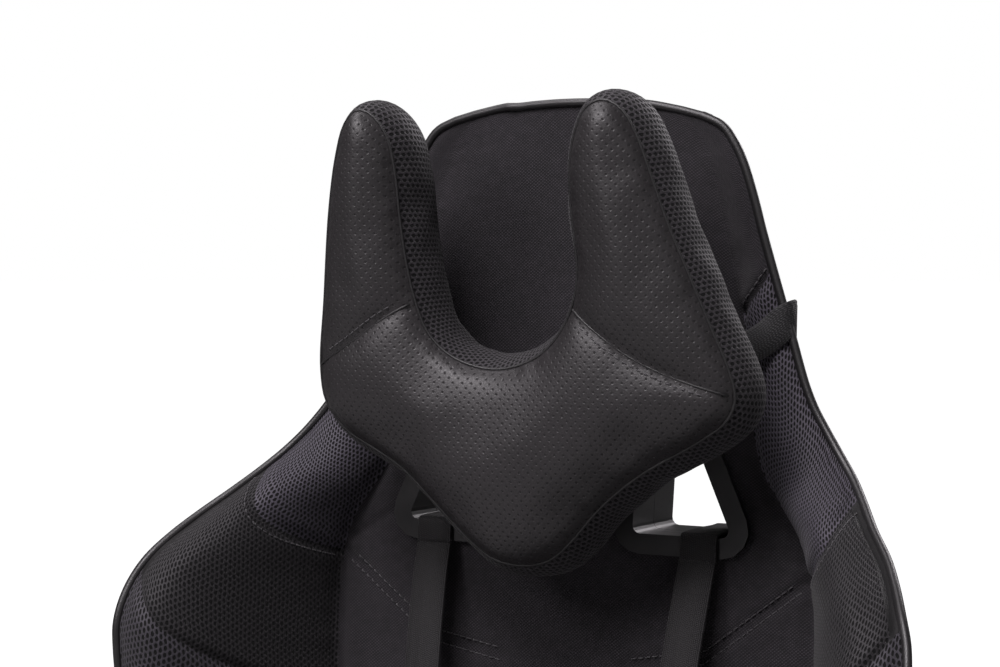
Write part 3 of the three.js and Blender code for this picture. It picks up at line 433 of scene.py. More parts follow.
def air_mesh_material(name, ridge_dark, ridge_light, hole_color, pitch_u=3.6, pitch_v=4.2):
    """Spacer mesh: staggered oval holes between raised ridges of yarn."""
    s = Surface(name, roughness=0.7, Sheen_Weight=0.06, Sheen_Roughness=0.4, Specular_IOR_Level=0.3)
    uv = s.coordinates("UV")
    warp = s.noise(uv, 95.0, 2.0, output="Color")
    shift = s.node("ShaderNodeVectorMath", 0, {"operation": "SCALE"}, i0=warp, Scale=1.0 * MM)
    uv_soft = s.node("ShaderNodeVectorMath", 0, {"operation": "ADD"}, i0=uv, i1=shift)
    holes = lattice(s, uv_soft, 2 * pitch_u * MM, pitch_v * MM, 2.1)
    hole = s.spread(holes, 0.86, 0.60)
    yarn = s.noise(s.stretched(uv, (1.0, 0.35, 1.0)), 1500.0, 2.0)
    cloud = s.noise(uv, 14.0, 3.0)
    ridge = s.mottle(yarn, ridge_dark, ridge_light)
    ridge = s.blend(s.spread(cloud, 0.35, 0.7, 0.0, 0.35), ridge, ridge_light)
    color = s.blend(hole, ridge, hole_color)
    height = s.math("SUBTRACT", s.times(yarn, 0.25), s.times(hole, 1.0))
    shine = s.spread(hole, 0.0, 1.0, 0.6, 0.95)
    return s.set(Base_Color=color, Roughness=shine, Normal=s.bump(height, 1.1 * MM, 0.9))


def leather_height(s, where):
    """Grain of pebbled leather: cells with worn creases between them."""
    cells = s.voronoi(where, 520.0, "DISTANCE_TO_EDGE")
    crease = s.spread(cells, 0.0, 0.22)
    fine = s.noise(where, 1664.0, 3.0)
    return s.plus(s.times(crease, 0.8), s.times(fine, 0.3))


def leather_material(name, dark, light, roughness=0.42, perforated=False):
    s = Surface(name, roughness=roughness, Specular_IOR_Level=0.5)
    where = s.coordinates("Object")
    grain = leather_height(s, where)
    cloud = s.noise(where, 16.0, 4.0, 0.6)
    color = s.blend(s.spread(cloud, 0.3, 0.72), dark, light)
    color = s.blend(s.spread(grain, 0.1, 0.7, 0.5, 0.0), color, rgb(8, 8, 9))
    shine = s.spread(s.plus(s.times(cloud, 0.5), s.times(grain, 0.5)), 0.2, 0.9,
                     roughness + 0.08, roughness - 0.06)
    normal = s.bump(grain, 0.10 * MM, 0.5)
    if perforated:
        holes = lattice(s, s.coordinates("UV"), 5.8 * MM, 5.8 * MM)
        hole = s.spread(holes, 0.20, 0.12)
        color = s.blend(hole, color, rgb(3, 3, 3))
        rim = s.spread(holes, 0.36, 0.14)
        normal = s.bump(s.times(rim, -1.0), 0.3 * MM, 0.7, Normal=normal)
        shine = s.plus(shine, s.times(hole, 0.4), True)
    return s.set(Base_Color=color, Roughness=shine, Normal=normal)


def webbing_material(name, dark, light, rib=1.4):
    """Woven strap: ribs across it and fine warp along it. UV v runs along the strap."""
    s = Surface(name, roughness=0.66, Sheen_Weight=0.06, Sheen_Roughness=0.4, Specular_IOR_Level=0.35)
    uv = s.coordinates("UV")
    u, v = s.split(uv)
    across = s.math("SINE", s.times(u, 2 * math.pi / (1.25 * MM)))
    chevron = s.math("PINGPONG", u, 3.1 * MM)
    along_at = s.plus(v, s.times(chevron, 0.5))
    along = s.math("SINE", s.times(along_at, 2 * math.pi / (rib * MM)))
    weave = s.times(s.plus(across, 1.2), s.plus(along, 1.2))
    fuzz = s.noise(uv, 2200.0, 2.0)
    color = s.blend(s.spread(weave, 0.3, 3.4), dark, light)
    height = s.plus(s.times(weave, 0.25), s.times(fuzz, 0.3))
    return s.set(Base_Color=color, Normal=s.bump(height, 0.3 * MM, 0.8))


def plastic_material(name, dark, light, roughness, texture=900.0, depth=0.05):
    s = Surface(name, roughness=roughness, Specular_IOR_Level=0.55)
    where = s.coordinates("Object")
    spark = s.noise(where, texture, 2.0)
    cloud = s.noise(where, 22.0, 4.0, 0.65)
    scuff = s.spread(s.noise(s.stretched(where, (1.0, 1.0, 9.0)), 60.0, 5.0, 0.7), 0.56, 0.74)
    color = s.mottle(cloud, dark, light)
    shine = s.plus(s.spread(cloud, 0.3, 0.7, roughness - 0.05, roughness + 0.06), s.times(scuff, 0.1))
    return s.set(Base_Color=color, Roughness=shine, Normal=s.bump(spark, depth * MM, 0.6))


def powder_coat_material():
    s = Surface("powder_coat", roughness=0.48, Specular_IOR_Level=0.5)
    where = s.coordinates("Object")
    peel = s.noise(where, 620.0, 3.0)
    cloud = s.noise(where, 18.0, 5.0, 0.65)
    edge = s.node("ShaderNodeNewGeometry", "Pointiness")
    rub = s.times(s.spread(edge, 0.53, 0.60), s.spread(cloud, 0.4, 0.62))
    color = s.mottle(cloud, rgb(17, 17, 18), rgb(26, 26, 28))
    color = s.blend(rub, color, rgb(96, 96, 98))
    shine = s.spread(cloud, 0.3, 0.7, 0.42, 0.56)
    return s.set(Base_Color=color, Roughness=shine, Normal=s.bump(peel, 0.09 * MM, 0.7))


def zinc_material():
    s = Surface("zinc_plate", roughness=0.34, Metallic=1.0)
    where = s.coordinates("Object")
    spangle = s.voronoi(where, 120.0, output="Color")
    drawn = s.noise(s.stretched(where, (1.0, 0.05, 1.0)), 900.0, 3.0)
    cloud = s.noise(where, 24.0, 4.0)
    grey = s.node("ShaderNodeSeparateColor", Color=spangle)
    color = s.blend(s.times(grey, 0.4), rgb(150, 152, 156), rgb(196, 198, 200))
    color = s.blend(s.spread(cloud, 0.5, 0.8, 0.0, 0.6), color, rgb(118, 116, 112))
    shine = s.spread(drawn, 0.3, 0.7, 0.26, 0.46)
    return s.set(Base_Color=color, Roughness=shine, Normal=s.bump(drawn, 0.04 * MM, 0.5))


def thread_material(name, dark, light):
    s = Surface(name, roughness=0.55, Sheen_Weight=0.3)
    where = s.coordinates("Object")
    ply = s.noise(where, 2600.0, 2.0)
    color = s.mottle(ply, dark, light)
    return s.set(Base_Color=color, Normal=s.bump(ply, 0.1 * MM, 0.7))


def dust_cover_material():
    """Thin bonded cloth under the cushion."""
    s = Surface("dust_cover", roughness=0.92)
    where = s.coordinates("Object")
    fibres = s.noise(s.stretched(where, (1.0, 3.0, 1.0)), 700.0, 4.0)
    points = s.voronoi(where, 700.0, randomness=0.2)
    color = s.mottle(fibres, rgb(22, 22, 23), rgb(44, 44, 46))
    height = s.plus(s.spread(points, 0.2, 0.5), fibres)
    return s.set(Base_Color=color, Normal=s.bump(height, 0.15 * MM, 0.7))


def floor_material():
    """Pale floor, lit up to white where it meets the backdrop far behind the seat."""
    s = Surface("studio_floor", color=(0.5, 0.5, 0.5), roughness=0.9)
    where = s.coordinates("Object")
    far = s.spread(s.node("ShaderNodeVectorMath", 1, {"operation": "LENGTH"}, i0=where), 0.9, 3.6, 0.55, 1.0)
    seen = s.node("ShaderNodeLightPath", "Is Camera Ray")
    s.shader.inputs["Emission Color"].default_value = (1, 1, 1, 1)
    return s.set(Emission_Strength=s.times(far, seen))


TWILL = twill_material()
GREY_MESH = air_mesh_material("grey_mesh", rgb(48, 46, 52), rgb(78, 74, 84), rgb(10, 9, 11))
SIDE_MESH = air_mesh_material("side_mesh", rgb(34, 33, 36), rgb(62, 59, 66), rgb(7, 7, 8))
BLACK_MESH = air_mesh_material("black_mesh", rgb(22, 21, 22), rgb(46, 44, 47), rgb(4, 4, 5))
GUSSET_MESH = air_mesh_material("gusset_mesh", rgb(18, 17, 18), rgb(58, 55, 59), rgb(2, 2, 3), 3.1, 3.7)
PERFORATED = leather_material("perforated_leather", rgb(26, 24, 25), rgb(36, 33, 35), 0.5, True)
LEATHER = leather_material("smooth_leather", rgb(16, 15, 16), rgb(25, 24, 25), 0.5)
PIPING = leather_material("piping_leather", rgb(22, 21, 22), rgb(34, 33, 34), 0.42)
WEB = webbing_material("webbing", rgb(11, 10, 11), rgb(31, 29, 31))
ELASTIC = webbing_material("elastic", rgb(18, 18, 19), rgb(46, 45, 47), 2.2)
BEZEL = plastic_material("bezel_plastic", rgb(20, 19, 20), rgb(30, 29, 30), 0.36)
PLASTIC = plastic_material("black_plastic", rgb(14, 14, 15), rgb(24, 24, 25), 0.46, 700.0, 0.09)
NYLON = plastic_material("glide_nylon", rgb(60, 60, 58), rgb(84, 83, 80), 0.5)
COAT = powder_coat_material()
ZINC = zinc_material()
THREAD = thread_material("grey_thread", rgb(33, 31, 34), rgb(56, 53, 57))
DARK_THREAD = thread_material("dark_thread", rgb(22, 21, 23), rgb(44, 42, 45))
DUST_COVER = dust_cover_material()

# ------------------------------------------------------------------ backrest surfaces


def half_width(h):
    return profile(OUTLINE_HALF_WIDTH, h) - PIPING_RADIUS - PIPING_OUT


def crease_at(h):
    return min(profile(CREASE_HALF_WIDTH, h), 0.82 * half_width(h))


def seam_height(seam, wing):
    """Height of a wing seam; wing runs from 0 at the crease to 1 at the outer edge."""
    low, high = seam
    return low + (high - low) * wing


def wing_of(u):
    return (abs(u) - 0.5) / 0.5


def front_point(u, h):
    """Front of the backrest: |u| up to 0.5 is the centre panel, beyond it the wing."""
    crease = crease_at(h)
    swell = profile(LUMBAR_SWELL, h)
    share, side = abs(u), math.copysign(1, u)
    if share <= 0.5:
        across = share / 0.5
        crown = (TOP_SINK + TOP_CROWN * across * across) * clamp((h - 780) / 60, 0, 1)
        return side * crease * across, -swell * (1 - 0.6 * across * across), h - crown
    wing = (share - 0.5) / 0.5
    edge = profile(WING_FORWARD, h)
    root = 0.4 * swell
    crest = edge + CREST_RISE * clamp(edge / 40, 0.1, 1)
    rise = math.sin((math.pi / 2) * min(wing / CREST_AT, 1))
    fall = max(wing - CREST_AT, 0) / (1 - CREST_AT)
    forward = root + (crest - root) * rise - (crest - edge) * fall * fall
    crown = (TOP_SINK + TOP_CROWN) * clamp((h - 780) / 60, 0, 1)
    return side * (crease + (half_width(h) - crease) * wing), -forward, h - crown


def rear_point(u, h):
    share = abs(u)
    t = smooth((share - REAR_FLAT) / (1 - REAR_FLAT))
    edge_y = profile(SIDE_BAND_DEPTH, h) - profile(WING_FORWARD, h)
    centre_y = profile(BACK_DEPTH, h)
    return u * (half_width(h) - profile(SIDE_TAPER, h)), centre_y + (edge_y - centre_y) * t, clamp(h, 5, 835)


def line_distance(x, h, a, b):
    """Distance from (x, h) to the line from a to b."""
    dx, dh = b[0] - a[0], b[1] - a[1]
    t = clamp(((x - a[0]) * dx + (h - a[1]) * dh) / math.hypot(dx, dh) ** 2, 0, 1)
    return math.hypot(x - a[0] - t * dx, h - a[1] - t * dh)


# Diagonal seams of the centre panel below the openings, and the darts beside them.
CENTRE_SEAMS = [((side * 164, 540), (side * 96, 486), (side * 40, 476)) for side in (-1, 1)]
DARTS = [((side * 158, 548), (side * 122, 568)) for side in (-1, 1)]


def groove(distance, depth, width):
    return depth * math.exp(-((distance / width) ** 2))


def seam_form(gap, swell, spread, depth, width):
    """Section of a seam: a broad swell with a narrow groove in it."""
    return groove(gap, swell, spread) - groove(gap, depth, width)


def front_relief(u, h):
    """How far the padded front stands proud of its plain surface: seams, darts, folds and the soft fill."""
    wing = clamp(wing_of(u), 0, 1)
    x = front_point(u, h)[0]
    crease_gap = abs(abs(x) - crease_at(h))
    relief = -groove(crease_gap, 2.6, 4.0) * smooth((732 - h) / 34)
    if wing > 0:
        inside = 1 - smooth((wing - 0.86) / 0.12)
        for seam in WING_SEAMS:
            gap = abs(h - seam_height(seam, wing)) * 0.85
            relief += seam_form(gap, 1.6, 14.0, 3.0, 3.4) * inside
    else:
        for a, b, c in CENTRE_SEAMS:
            gap = min(line_distance(x, h, a, b), line_distance(x, h, b, c))
            relief += seam_form(gap, 1.2, 16.0, 2.6, 3.2)
        for a, b in DARTS:
            relief -= groove(line_distance(x, h, a, b), 2.2, 3.0)
        for side in (-1, 1):
            gap = line_distance(x, h, (side * 60, 575), (side * 60, 630))
            relief -= 2.0 * smooth((46 - gap) / 24)
    edge_gap = half_width(h) - abs(x)
    relief -= groove(edge_gap, 1.4, 3.5)
    relief += 1.3 * noise.noise(Vector((x * 0.014 + 3.1, h * 0.011, 2.7)))
    relief += 0.45 * noise.noise(Vector((x * 0.05, h * 0.035, 9.2)))
    gather = noise.noise(Vector((x * 0.02, h * 0.16, 5.5))) * math.exp(-crease_gap / 16)
    return (relief + 0.9 * gather) * smooth(edge_gap / 5)


def front_surface(u, h):
    """Point and normal of the padded front."""
    normal = normal_of(front_point, u, h, 0.004, 1.0, 0, BACK_HEIGHT)
    return Vector(front_point(u, h)) + normal * front_relief(u, h), normal


def spaced(count, ends=0.5):
    """Shares from 0 to 1, drawn together towards both ends."""
    plain = [i / count for i in range(count + 1)]
    return [(1 - ends) * t + ends * (1 - math.cos(math.pi * t)) / 2 for t in plain]


def columns_of(crease, side_steps, side_ends, middle_steps, middle_ends):
    """Columns across a cushion from -1 to 1, with edges at its creases."""
    side = [crease + (1 - crease) * t for t in spaced(side_steps, side_ends)]
    middle = [-crease + 2 * crease * t for t in spaced(middle_steps, middle_ends)]
    return [-u for u in reversed(side[1:])] + middle + side[1:]


def border_of(us, vs):
    """The (u, v) pairs round a sheet's edge."""
    border = [(u, vs[0]) for u in us] + [(1, v) for v in vs[1:]]
    return border + [(u, vs[-1]) for u in reversed(us[:-1])] + [(-1, v) for v in reversed(vs[1:-1])]


def front_rows():
    """Rows as (band, share): bands lie between the seams, so each seam is a row of edges."""
    rows = []
    for band, (steps, ends) in enumerate(((76, 0.4), (36, 0.6), (48, 0.6), (40, 0.5))):
        rows += [(band, t) for t in spaced(steps, ends)[:-1]]
    return rows + [(3, 1.0)]


def row_height(row, u):
    band, share = row
    wing = clamp(wing_of(u), 0, 1)
    stations = [0, *(seam_height(seam, wing) for seam in WING_SEAMS), BACK_HEIGHT]
    return stations[band] + (stations[band + 1] - stations[band]) * share


def opening_distance(x, h):
    """Distance inside (negative) or outside the harness opening nearest to x."""
    corners = HARNESS_OPENING
    inside = -1e9
    for (ax, ay), (bx, by) in zip(corners, corners[1:] + corners[:1]):
        length = math.hypot(bx - ax, by - ay)
        inside = max(inside, ((abs(x) - ax) * (by - ay) - (h - ay) * (bx - ax)) / length)
    return inside


SIDE_STEPS = 7
EDGE_STRIP = 0.93  # leather edging of the middle wing panel starts here
BAND_SLOTS = (4, 2, 1, 0)  # material of the wing in each band
LEATHER_SLOT = 3


def sheet_faces(columns, rows):
    starts = [i * rows + j for i in range(columns - 1) for j in range(rows - 1)]
    return [(a, a + rows, a + rows + 1, a + 1) for a in starts]


def ring_faces(start, ring, steps):
    """Faces of a band closed on itself: ring columns of steps + 1 points each, from start on."""
    faces = []
    for i in range(ring):
        a, b = start + i * (steps + 1), start + (i + 1) % ring * (steps + 1)
        faces += [(a + k, a + k + 1, b + k + 1, b + k) for k in range(steps)]
    return faces


def arc_uvs(points, columns, rows):
    """For each sheet point in mm, its distance across and up the cloth, in metres."""
    grid = np.array([tuple(p * MM) for p in points]).reshape(columns, rows, 3)
    across, up = np.zeros((columns, rows)), np.zeros((columns, rows))
    across[1:] = np.cumsum(np.linalg.norm(np.diff(grid, axis=0), axis=2), axis=0)
    up[:, 1:] = np.cumsum(np.linalg.norm(np.diff(grid, axis=1), axis=2), axis=1)
    middle = columns // 2
    steady = up[middle][None, :] * 0.5 + up * 0.5
    return list(map(tuple, np.stack([across - across[middle], steady], axis=2).reshape(-1, 2)))


def corner_uvs(faces, point_uvs):
    return [tuple(point_uvs[k]) for face in faces for k in face]


def front_cover():
    """Sewn front of the backrest with its side bands, in twill, three meshes and leather."""
    us, rows = columns_of(0.5, 34, 0.6, 60, 0.4), front_rows()
    points = [front_surface(u, row_height(row, u))[0] for u in us for row in rows]
    uvs = arc_uvs(points, len(us), len(rows))
    faces, slots = [], []
    for face in sheet_faces(len(us), len(rows)):
        i, j = divmod(face[0], len(rows))
        u = (us[i] + us[i + 1]) / 2
        h = (row_height(rows[j], u) + row_height(rows[j + 1], u)) / 2
        if opening_distance(front_point(u, h)[0], h) < FRONT_CUT:
            continue
        faces.append(face)
        band, wing = rows[j][0], wing_of(u)
        if band == 1 and wing > EDGE_STRIP:
            slots.append(LEATHER_SLOT)
        else:
            slots.append(0 if wing < 0 else BAND_SLOTS[band])
    # Side bands, from the outer edge round to the rear cover, and the foot and top bands.
    border = border_of(us, [row_height(row, 1) for row in rows])
    edge = [front_surface(u, h)[0] for u, h in border]
    start = len(points)
    for (u, h), front, run in zip(border, edge, distances(edge)):
        share = front_point(u, h)[0] / half_width(h)
        rear = Vector(rear_point(share, h))
        out = Vector((share, 0, -1 if h == 0 else (1 if h == BACK_HEIGHT else 0))).normalized()
        for k in range(SIDE_STEPS + 1):
            t = k / SIDE_STEPS
            swell = 2.2 * math.sin(math.pi * t) + 0.8 * noise.noise(Vector((run * MM * 22, t * 2.0, 4.4)))
            points.append(front.lerp(rear, t) + out * swell * min(1.0, 6 * t * (1 - t) + 0.05))
            uvs.append(((rear - front).length * t * MM, run * MM))
    band = ring_faces(start, len(border), SIDE_STEPS)
    faces += band
    slots += [LEATHER_SLOT] * len(band)
    obj = mesh_object(
        "back_front_cover", [from_back(*p) for p in points], faces,
        [TWILL, GREY_MESH, BLACK_MESH, LEATHER, SIDE_MESH], slots, corner_uvs(faces, uvs),
    )
    weld(obj)
    finish_piece(obj, "backrest", "twill", "front_cover", "back_foam")


# ------------------------------------------------------------------ tubes, cords and stitches


def sweep(route, section, around, side_of, closed=False, wave=0.0):
    """Vertices, faces and corner uvs of a section, (across, out) pairs, carried along a route.

    around holds u at each corner of the section and again at the first; side_of gives the direction across
    from the direction along and the last direction across. wave lets a strap sway and cup.
    """
    count, sides = len(route), len(section)
    run = distances(route)
    half = max(a for a, _ in section)
    verts, faces, uvs, side = [], [], [], None
    for i, p in enumerate(route):
        before = route[i - 1] if closed or i else p
        after = route[(i + 1) % count] if closed or i < count - 1 else p
        along = (after - before).normalized()
        side = side_of(along, side).normalized()
        out = along.cross(side)
        sway = wave * noise.noise(Vector((run[i] * 24, 0.4, 1.1)))
        cup = wave * noise.noise(Vector((run[i] * 31, 3.4, 5.1)))
        verts += [p + side * (a + sway) + out * (b + cup * (a / half) ** 2) for a, b in section]
    ends = run[1:] + [run[-1] + (route[0] - route[-1]).length]
    for i in range(count if closed else count - 1):
        a, b = i * sides, (i + 1) % count * sides
        for k in range(sides):
            m = (k + 1) % sides
            faces.append((a + k, a + m, b + m, b + k))
            low, high = around[k], around[k + 1]
            uvs += [(low, run[i]), (high, run[i]), (high, ends[i]), (low, ends[i])]
    if not closed:
        first = tuple(range(sides))
        faces += [first[::-1], tuple(k + (count - 1) * sides for k in first)]
        uvs += [(0, 0)] * (2 * sides)
    return verts, faces, uvs


def tube_mesh(route, radius, sides=10, closed=False):
    """A round tube along a route of points, in the route's own units."""
    angles = [2 * math.pi * k / sides for k in range(sides)]
    section = [(radius * math.cos(angle), radius * math.sin(angle)) for angle in angles]
    around = [k * 2 * math.pi * radius / sides for k in range(sides + 1)]

    def carried(along, before):
        if before is None:
            return along.cross(Vector((0, 1, 0)) if abs(along.y) < 0.9 else Vector((1, 0, 0)))
        return before - along * before.dot(along)

    return sweep(route, section, around, carried, closed)


STITCH = {"start": 0.8, "length": 3.4, "gap": 1.5, "radius": 0.42, "lift": 0.15}
# Share of the stitch's length, and height in radii.
STITCH_ARCH = ((0, -1.3), (0.12, 0.1), (0.5, 0.75), (0.88, 0.1), (1, -1.3))


def stitch_row(spots):
    """Thread stitches along (point, normal) pairs in mm; each dips into the cloth at both ends."""
    run = distances([point for point, _ in spots])
    parts, start = [], STITCH["start"]
    while start + STITCH["length"] < run[-1]:
        points = []
        for share, height in STITCH_ARCH:
            at = start + share * STITCH["length"]
            k = int(clamp(int(np.searchsorted(run, at, side="right")) - 1, 0, len(spots) - 2))
            t = (at - run[k]) / max(run[k + 1] - run[k], 1e-9)
            (p, p_normal), (q, q_normal) = spots[k : k + 2]
            normal = p_normal.lerp(q_normal, t).normalized()
            points.append(p.lerp(q, t) + normal * (STITCH["lift"] + height * STITCH["radius"]))
        parts.append(tube_mesh(points, STITCH["radius"], 5))
        start += STITCH["length"] + STITCH["gap"]
    return parts


def upright_rows(surface, seam, offset, low, rise, steps):
    """Stitches on both sides of the two seams that run up a panel."""
    parts = []
    for side in (-1, 1):
        for beside in (-offset, offset):
            u = side * (seam + beside)
            parts += stitch_row([surface(u, low + rise * i / steps) for i in range(steps + 1)])
    return parts


def cross_rows(surface, seams, bow, reach, steps):
    """Stitches on both sides of the bowed seams that run across a panel."""
    us = [-reach + 2 * reach * i / steps for i in range(steps + 1)]
    parts = []
    for seam in seams:
        for beside in (-4.5, 4.5):
            parts += stitch_row([surface(u, seam + bow * math.cos(math.pi * u) + beside) for u in us])
    return parts


def back_piping():
    """Leather-covered cord sewn into the edge between the front and the side bands."""
    half = []
    for i in range(61):
        h = 10 + (BACK_HEIGHT - 10) * i / 60
        x, y, z = front_point(1, h)
        over = smooth((h - 800) / 40)
        half.append((x + PIPING_OUT * (1 - over), y, z + PIPING_ABOVE * over))
    for i in range(1, 9):
        x, y, z = front_point(1 - i / 8, BACK_HEIGHT)
        half.append((x, y, z + PIPING_ABOVE))
    cord = tube_mesh(resample(catmull(mirrored(half), 4), 3.5), PIPING_RADIUS)
    joined_piece("back_piping_cord", [cord], back_point, PIPING, "backrest", "smooth_leather", "back_piping")


def front_spots(pairs):
    """Points and normals of the padded front, 2 mm apart, along (column, height) pairs."""
    scale = 300  # mm across for one unit of column
    fine = resample([(u * scale, h, 0) for u, h in pairs], 2.0)
    return [front_surface(clamp(p.x / scale, -1, 1), p.y) for p in fine]


def u_of(x, h):
    """Column of the front surface at distance x from the centre plane."""
    crease = crease_at(h)
    if abs(x) <= crease:
        return 0.5 * x / crease
    wing = (abs(x) - crease) / (half_width(h) - crease)
    return math.copysign(0.5 + 0.5 * clamp(wing, 0, 1), x)


def topstitching():
    """Rows of thread beside the backrest's seams."""
    parts = []
    for side, corner in zip((-1, 1), CENTRE_SEAMS):
        for seam, offset in ((SEAM_TOP, 4.5), (SEAM_MIDDLE, -4.5)):
            wings = [0.03 + 0.93 * i / 24 for i in range(25)]
            pairs = [(side * (0.5 + 0.5 * wing), seam_height(seam, wing) + offset) for wing in wings]
            parts += stitch_row(front_spots(pairs))
        for offset in (-4.0, 4.0):
            pairs = []
            for a, b in zip(corner, corner[1:]):
                for t in (i / 12 for i in range(12)):
                    x, h = a[0] + (b[0] - a[0]) * t, a[1] + (b[1] - a[1]) * t + offset
                    if abs(x) < crease_at(h) - 5:
                        pairs.append((u_of(x, h), h))
            parts += stitch_row(front_spots(pairs))
    joined_piece("back_topstitching", parts, back_point, THREAD, "backrest", "webbing")


# ------------------------------------------------------------------ rear of the backrest


def rear_relief(u, h):
    x = rear_point(u, h)[0]
    relief = 3.0 * smooth((0.93 - abs(u)) / 0.3) * smooth((h - 14) / 60) * smooth((826 - h) / 40)
    relief += seam_form(abs(abs(u) - REAR_SEAM) * half_width(h), 1.0, 14, 2.8, 3.2)
    if abs(u) < REAR_SEAM:
        for height in REAR_CROSS_SEAMS:
            relief += seam_form(abs(h - height - REAR_BOW * math.cos(math.pi * u)), 1.0, 14, 2.8, 3.2)
    relief -= 3.0 * smooth((16 - opening_distance(x, h)) / 10)
    return relief + 0.8 * noise.noise(Vector((x * 0.02, h * 0.014, 7.7)))


def rear_surface(u, h, lift=0.1):
    """Point and normal of the rear cover, for thread a little above it."""
    normal = -normal_of(rear_point, u, h, 0.01, 2, 6, 834)
    return Vector(rear_point(u, h)) + normal * (rear_relief(u, h) + lift), normal


def rear_cover():
    """Sewn rear panel, and the thread in its seams."""
    us = [-0.985 + 1.97 * i / 108 for i in range(109)]
    hs = [8 + 822 * i / 190 for i in range(191)]
    points = [rear_surface(u, h, 0.0)[0] for u in us for h in hs]
    faces = []
    for face in sheet_faces(len(us), len(hs)):
        i, j = divmod(face[0], len(hs))
        u, h = (us[i] + us[i + 1]) / 2, (hs[j] + hs[j + 1]) / 2
        if opening_distance(rear_point(u, h)[0], h) >= REAR_CUT:
            faces.append(face[::-1])
    uvs = corner_uvs(faces, arc_uvs(points, len(us), len(hs)))
    obj = mesh_object("back_rear_cover", [from_back(*p) for p in points], faces, [LEATHER], None, uvs)
    add_modifier(obj, "SOLIDIFY", thickness=1.4 * MM, offset=-1)
    apply_modifiers(obj)
    finish_piece(obj, "backrest", "smooth_leather", "rear_cover")
    parts = upright_rows(rear_surface, REAR_SEAM, 0.018, 24, 790, 300)
    parts += cross_rows(rear_surface, REAR_CROSS_SEAMS, REAR_BOW, 0.53, 120)
    joined_piece("rear_topstitching", parts, back_point, DARK_THREAD, "backrest", "webbing")


# ------------------------------------------------------------------ sewn cushions


def polyline_distance(points, lines):
    """Distance from each 2-D point to the nearest of the lines, and the arc place of that nearest point."""
    p = np.array([(q[0], q[1]) for q in points])
    best = np.full(len(p), 1e9)
    place = np.zeros(len(p))
    start = 0.0
    for line in lines:
        for a, b in zip(line, line[1:]):
            a2, b2 = np.array(a[:2], float), np.array(b[:2], float)
            d = b2 - a2
            size = np.linalg.norm(d)
            if size < 1e-9:
                continue
            t = np.clip(((p - a2) @ d) / size**2, 0, 1)
            gap = np.linalg.norm(p - a2 - t[:, None] * d, axis=1)
            closer = gap < best
            best = np.where(closer, gap, best)
            place = np.where(closer, start + t * size, place)
            start += size
        start += 37.0
    return best, place


def inside_polygon(points, polygon):
    x, y = points[:, 0], points[:, 1]
    inside = np.zeros(len(points), bool)
    for (ax, ay), (bx, by) in zip(polygon, polygon[1:] + polygon[:1]):
        crosses = (ay > y) != (by > y)
        cut = (bx - ax) * (y - ay) / (by - ay if by != ay else 1e-9) + ax
        inside ^= crosses & (x < cut)
    return inside


def plane_mesh(outline, welts, spacing):
    """Triangles filling an outline, with the outline and the welts kept as edges."""
    border = [(p.x, p.y) for p in outline]
    inner = [[(p.x, p.y) for p in welt] for welt in welts]
    fixed = list(border)
    edges = [(i, (i + 1) % len(border)) for i in range(len(border))]
    for line in inner:
        first = int(np.argmin([math.dist(line[0], b) for b in border]))
        last = int(np.argmin([math.dist(line[-1], b) for b in border]))
        chain = [first]
        for q in line[1:-1]:
            fixed.append(q)
            chain.append(len(fixed) - 1)
        chain.append(last)
        edges += list(zip(chain, chain[1:]))
    lows, highs = np.min(border, axis=0), np.max(border, axis=0)
    grid, row, y = [], 0, lows[1]
    while y < highs[1]:
        x = lows[0] + (spacing / 2 if row % 2 else 0)
        while x < highs[0]:
            grid.append((x, y))
            x += spacing
        y += spacing * 0.866
        row += 1
    grid = np.array(grid)
    closed = [*border, border[0]]
    gap, _ = polyline_distance(grid, [closed, *inner])
    keep = inside_polygon(grid, border) & (gap > 0.62 * spacing)
    points = [Vector(p) for p in fixed] + [Vector(p) for p in grid[keep]]
    verts, _, faces, origin, _, _ = geometry.delaunay_2d_cdt(points, edges, [], 1, 1e-5)
    index_of = {}
    for new, olds in enumerate(origin):
        for old in olds:
            index_of.setdefault(old, new)
    rim = [index_of[i] for i in range(len(border))]
    seams = {index_of[i] for i in range(len(fixed)) if i in index_of}
    out_faces = []
    for f in faces:
        a, b, c = (verts[k] for k in f)
        area = (b.x - a.x) * (c.y - a.y) - (b.y - a.y) * (c.x - a.x)
        centre = np.array([[(a.x + b.x + c.x) / 3, (a.y + b.y + c.y) / 3]])
        if abs(area) > 1e-6 and inside_polygon(centre, border)[0]:
            out_faces.append(tuple(f) if area > 0 else tuple(reversed(f)))
    return [(v.x, v.y) for v in verts], out_faces, rim, seams


WELT_DIP = 0.34  # share of the crown that a welt pulls down
CROWN_REACH = 40.0  # a cushion is at its full height this far from its edge
CORD_RADIUS = 1.0 * MM
CORD_PROUD = 0.3
WELT_STITCH_GAP = 4.2


def directions(outline):
    """Unit directions along a closed outline, at each of its points."""
    after = outline[1:] + outline[:1]
    return [(b - a).normalized() for a, b in zip([outline[-1], *outline], after)]


def drawn_in(outline, inset):
    """The closed outline moved inwards by the inset."""
    pairs = zip(outline, directions(outline))
    return [Vector((p.x - along.y * inset, p.y + along.x * inset, 0)) for p, along in pairs]


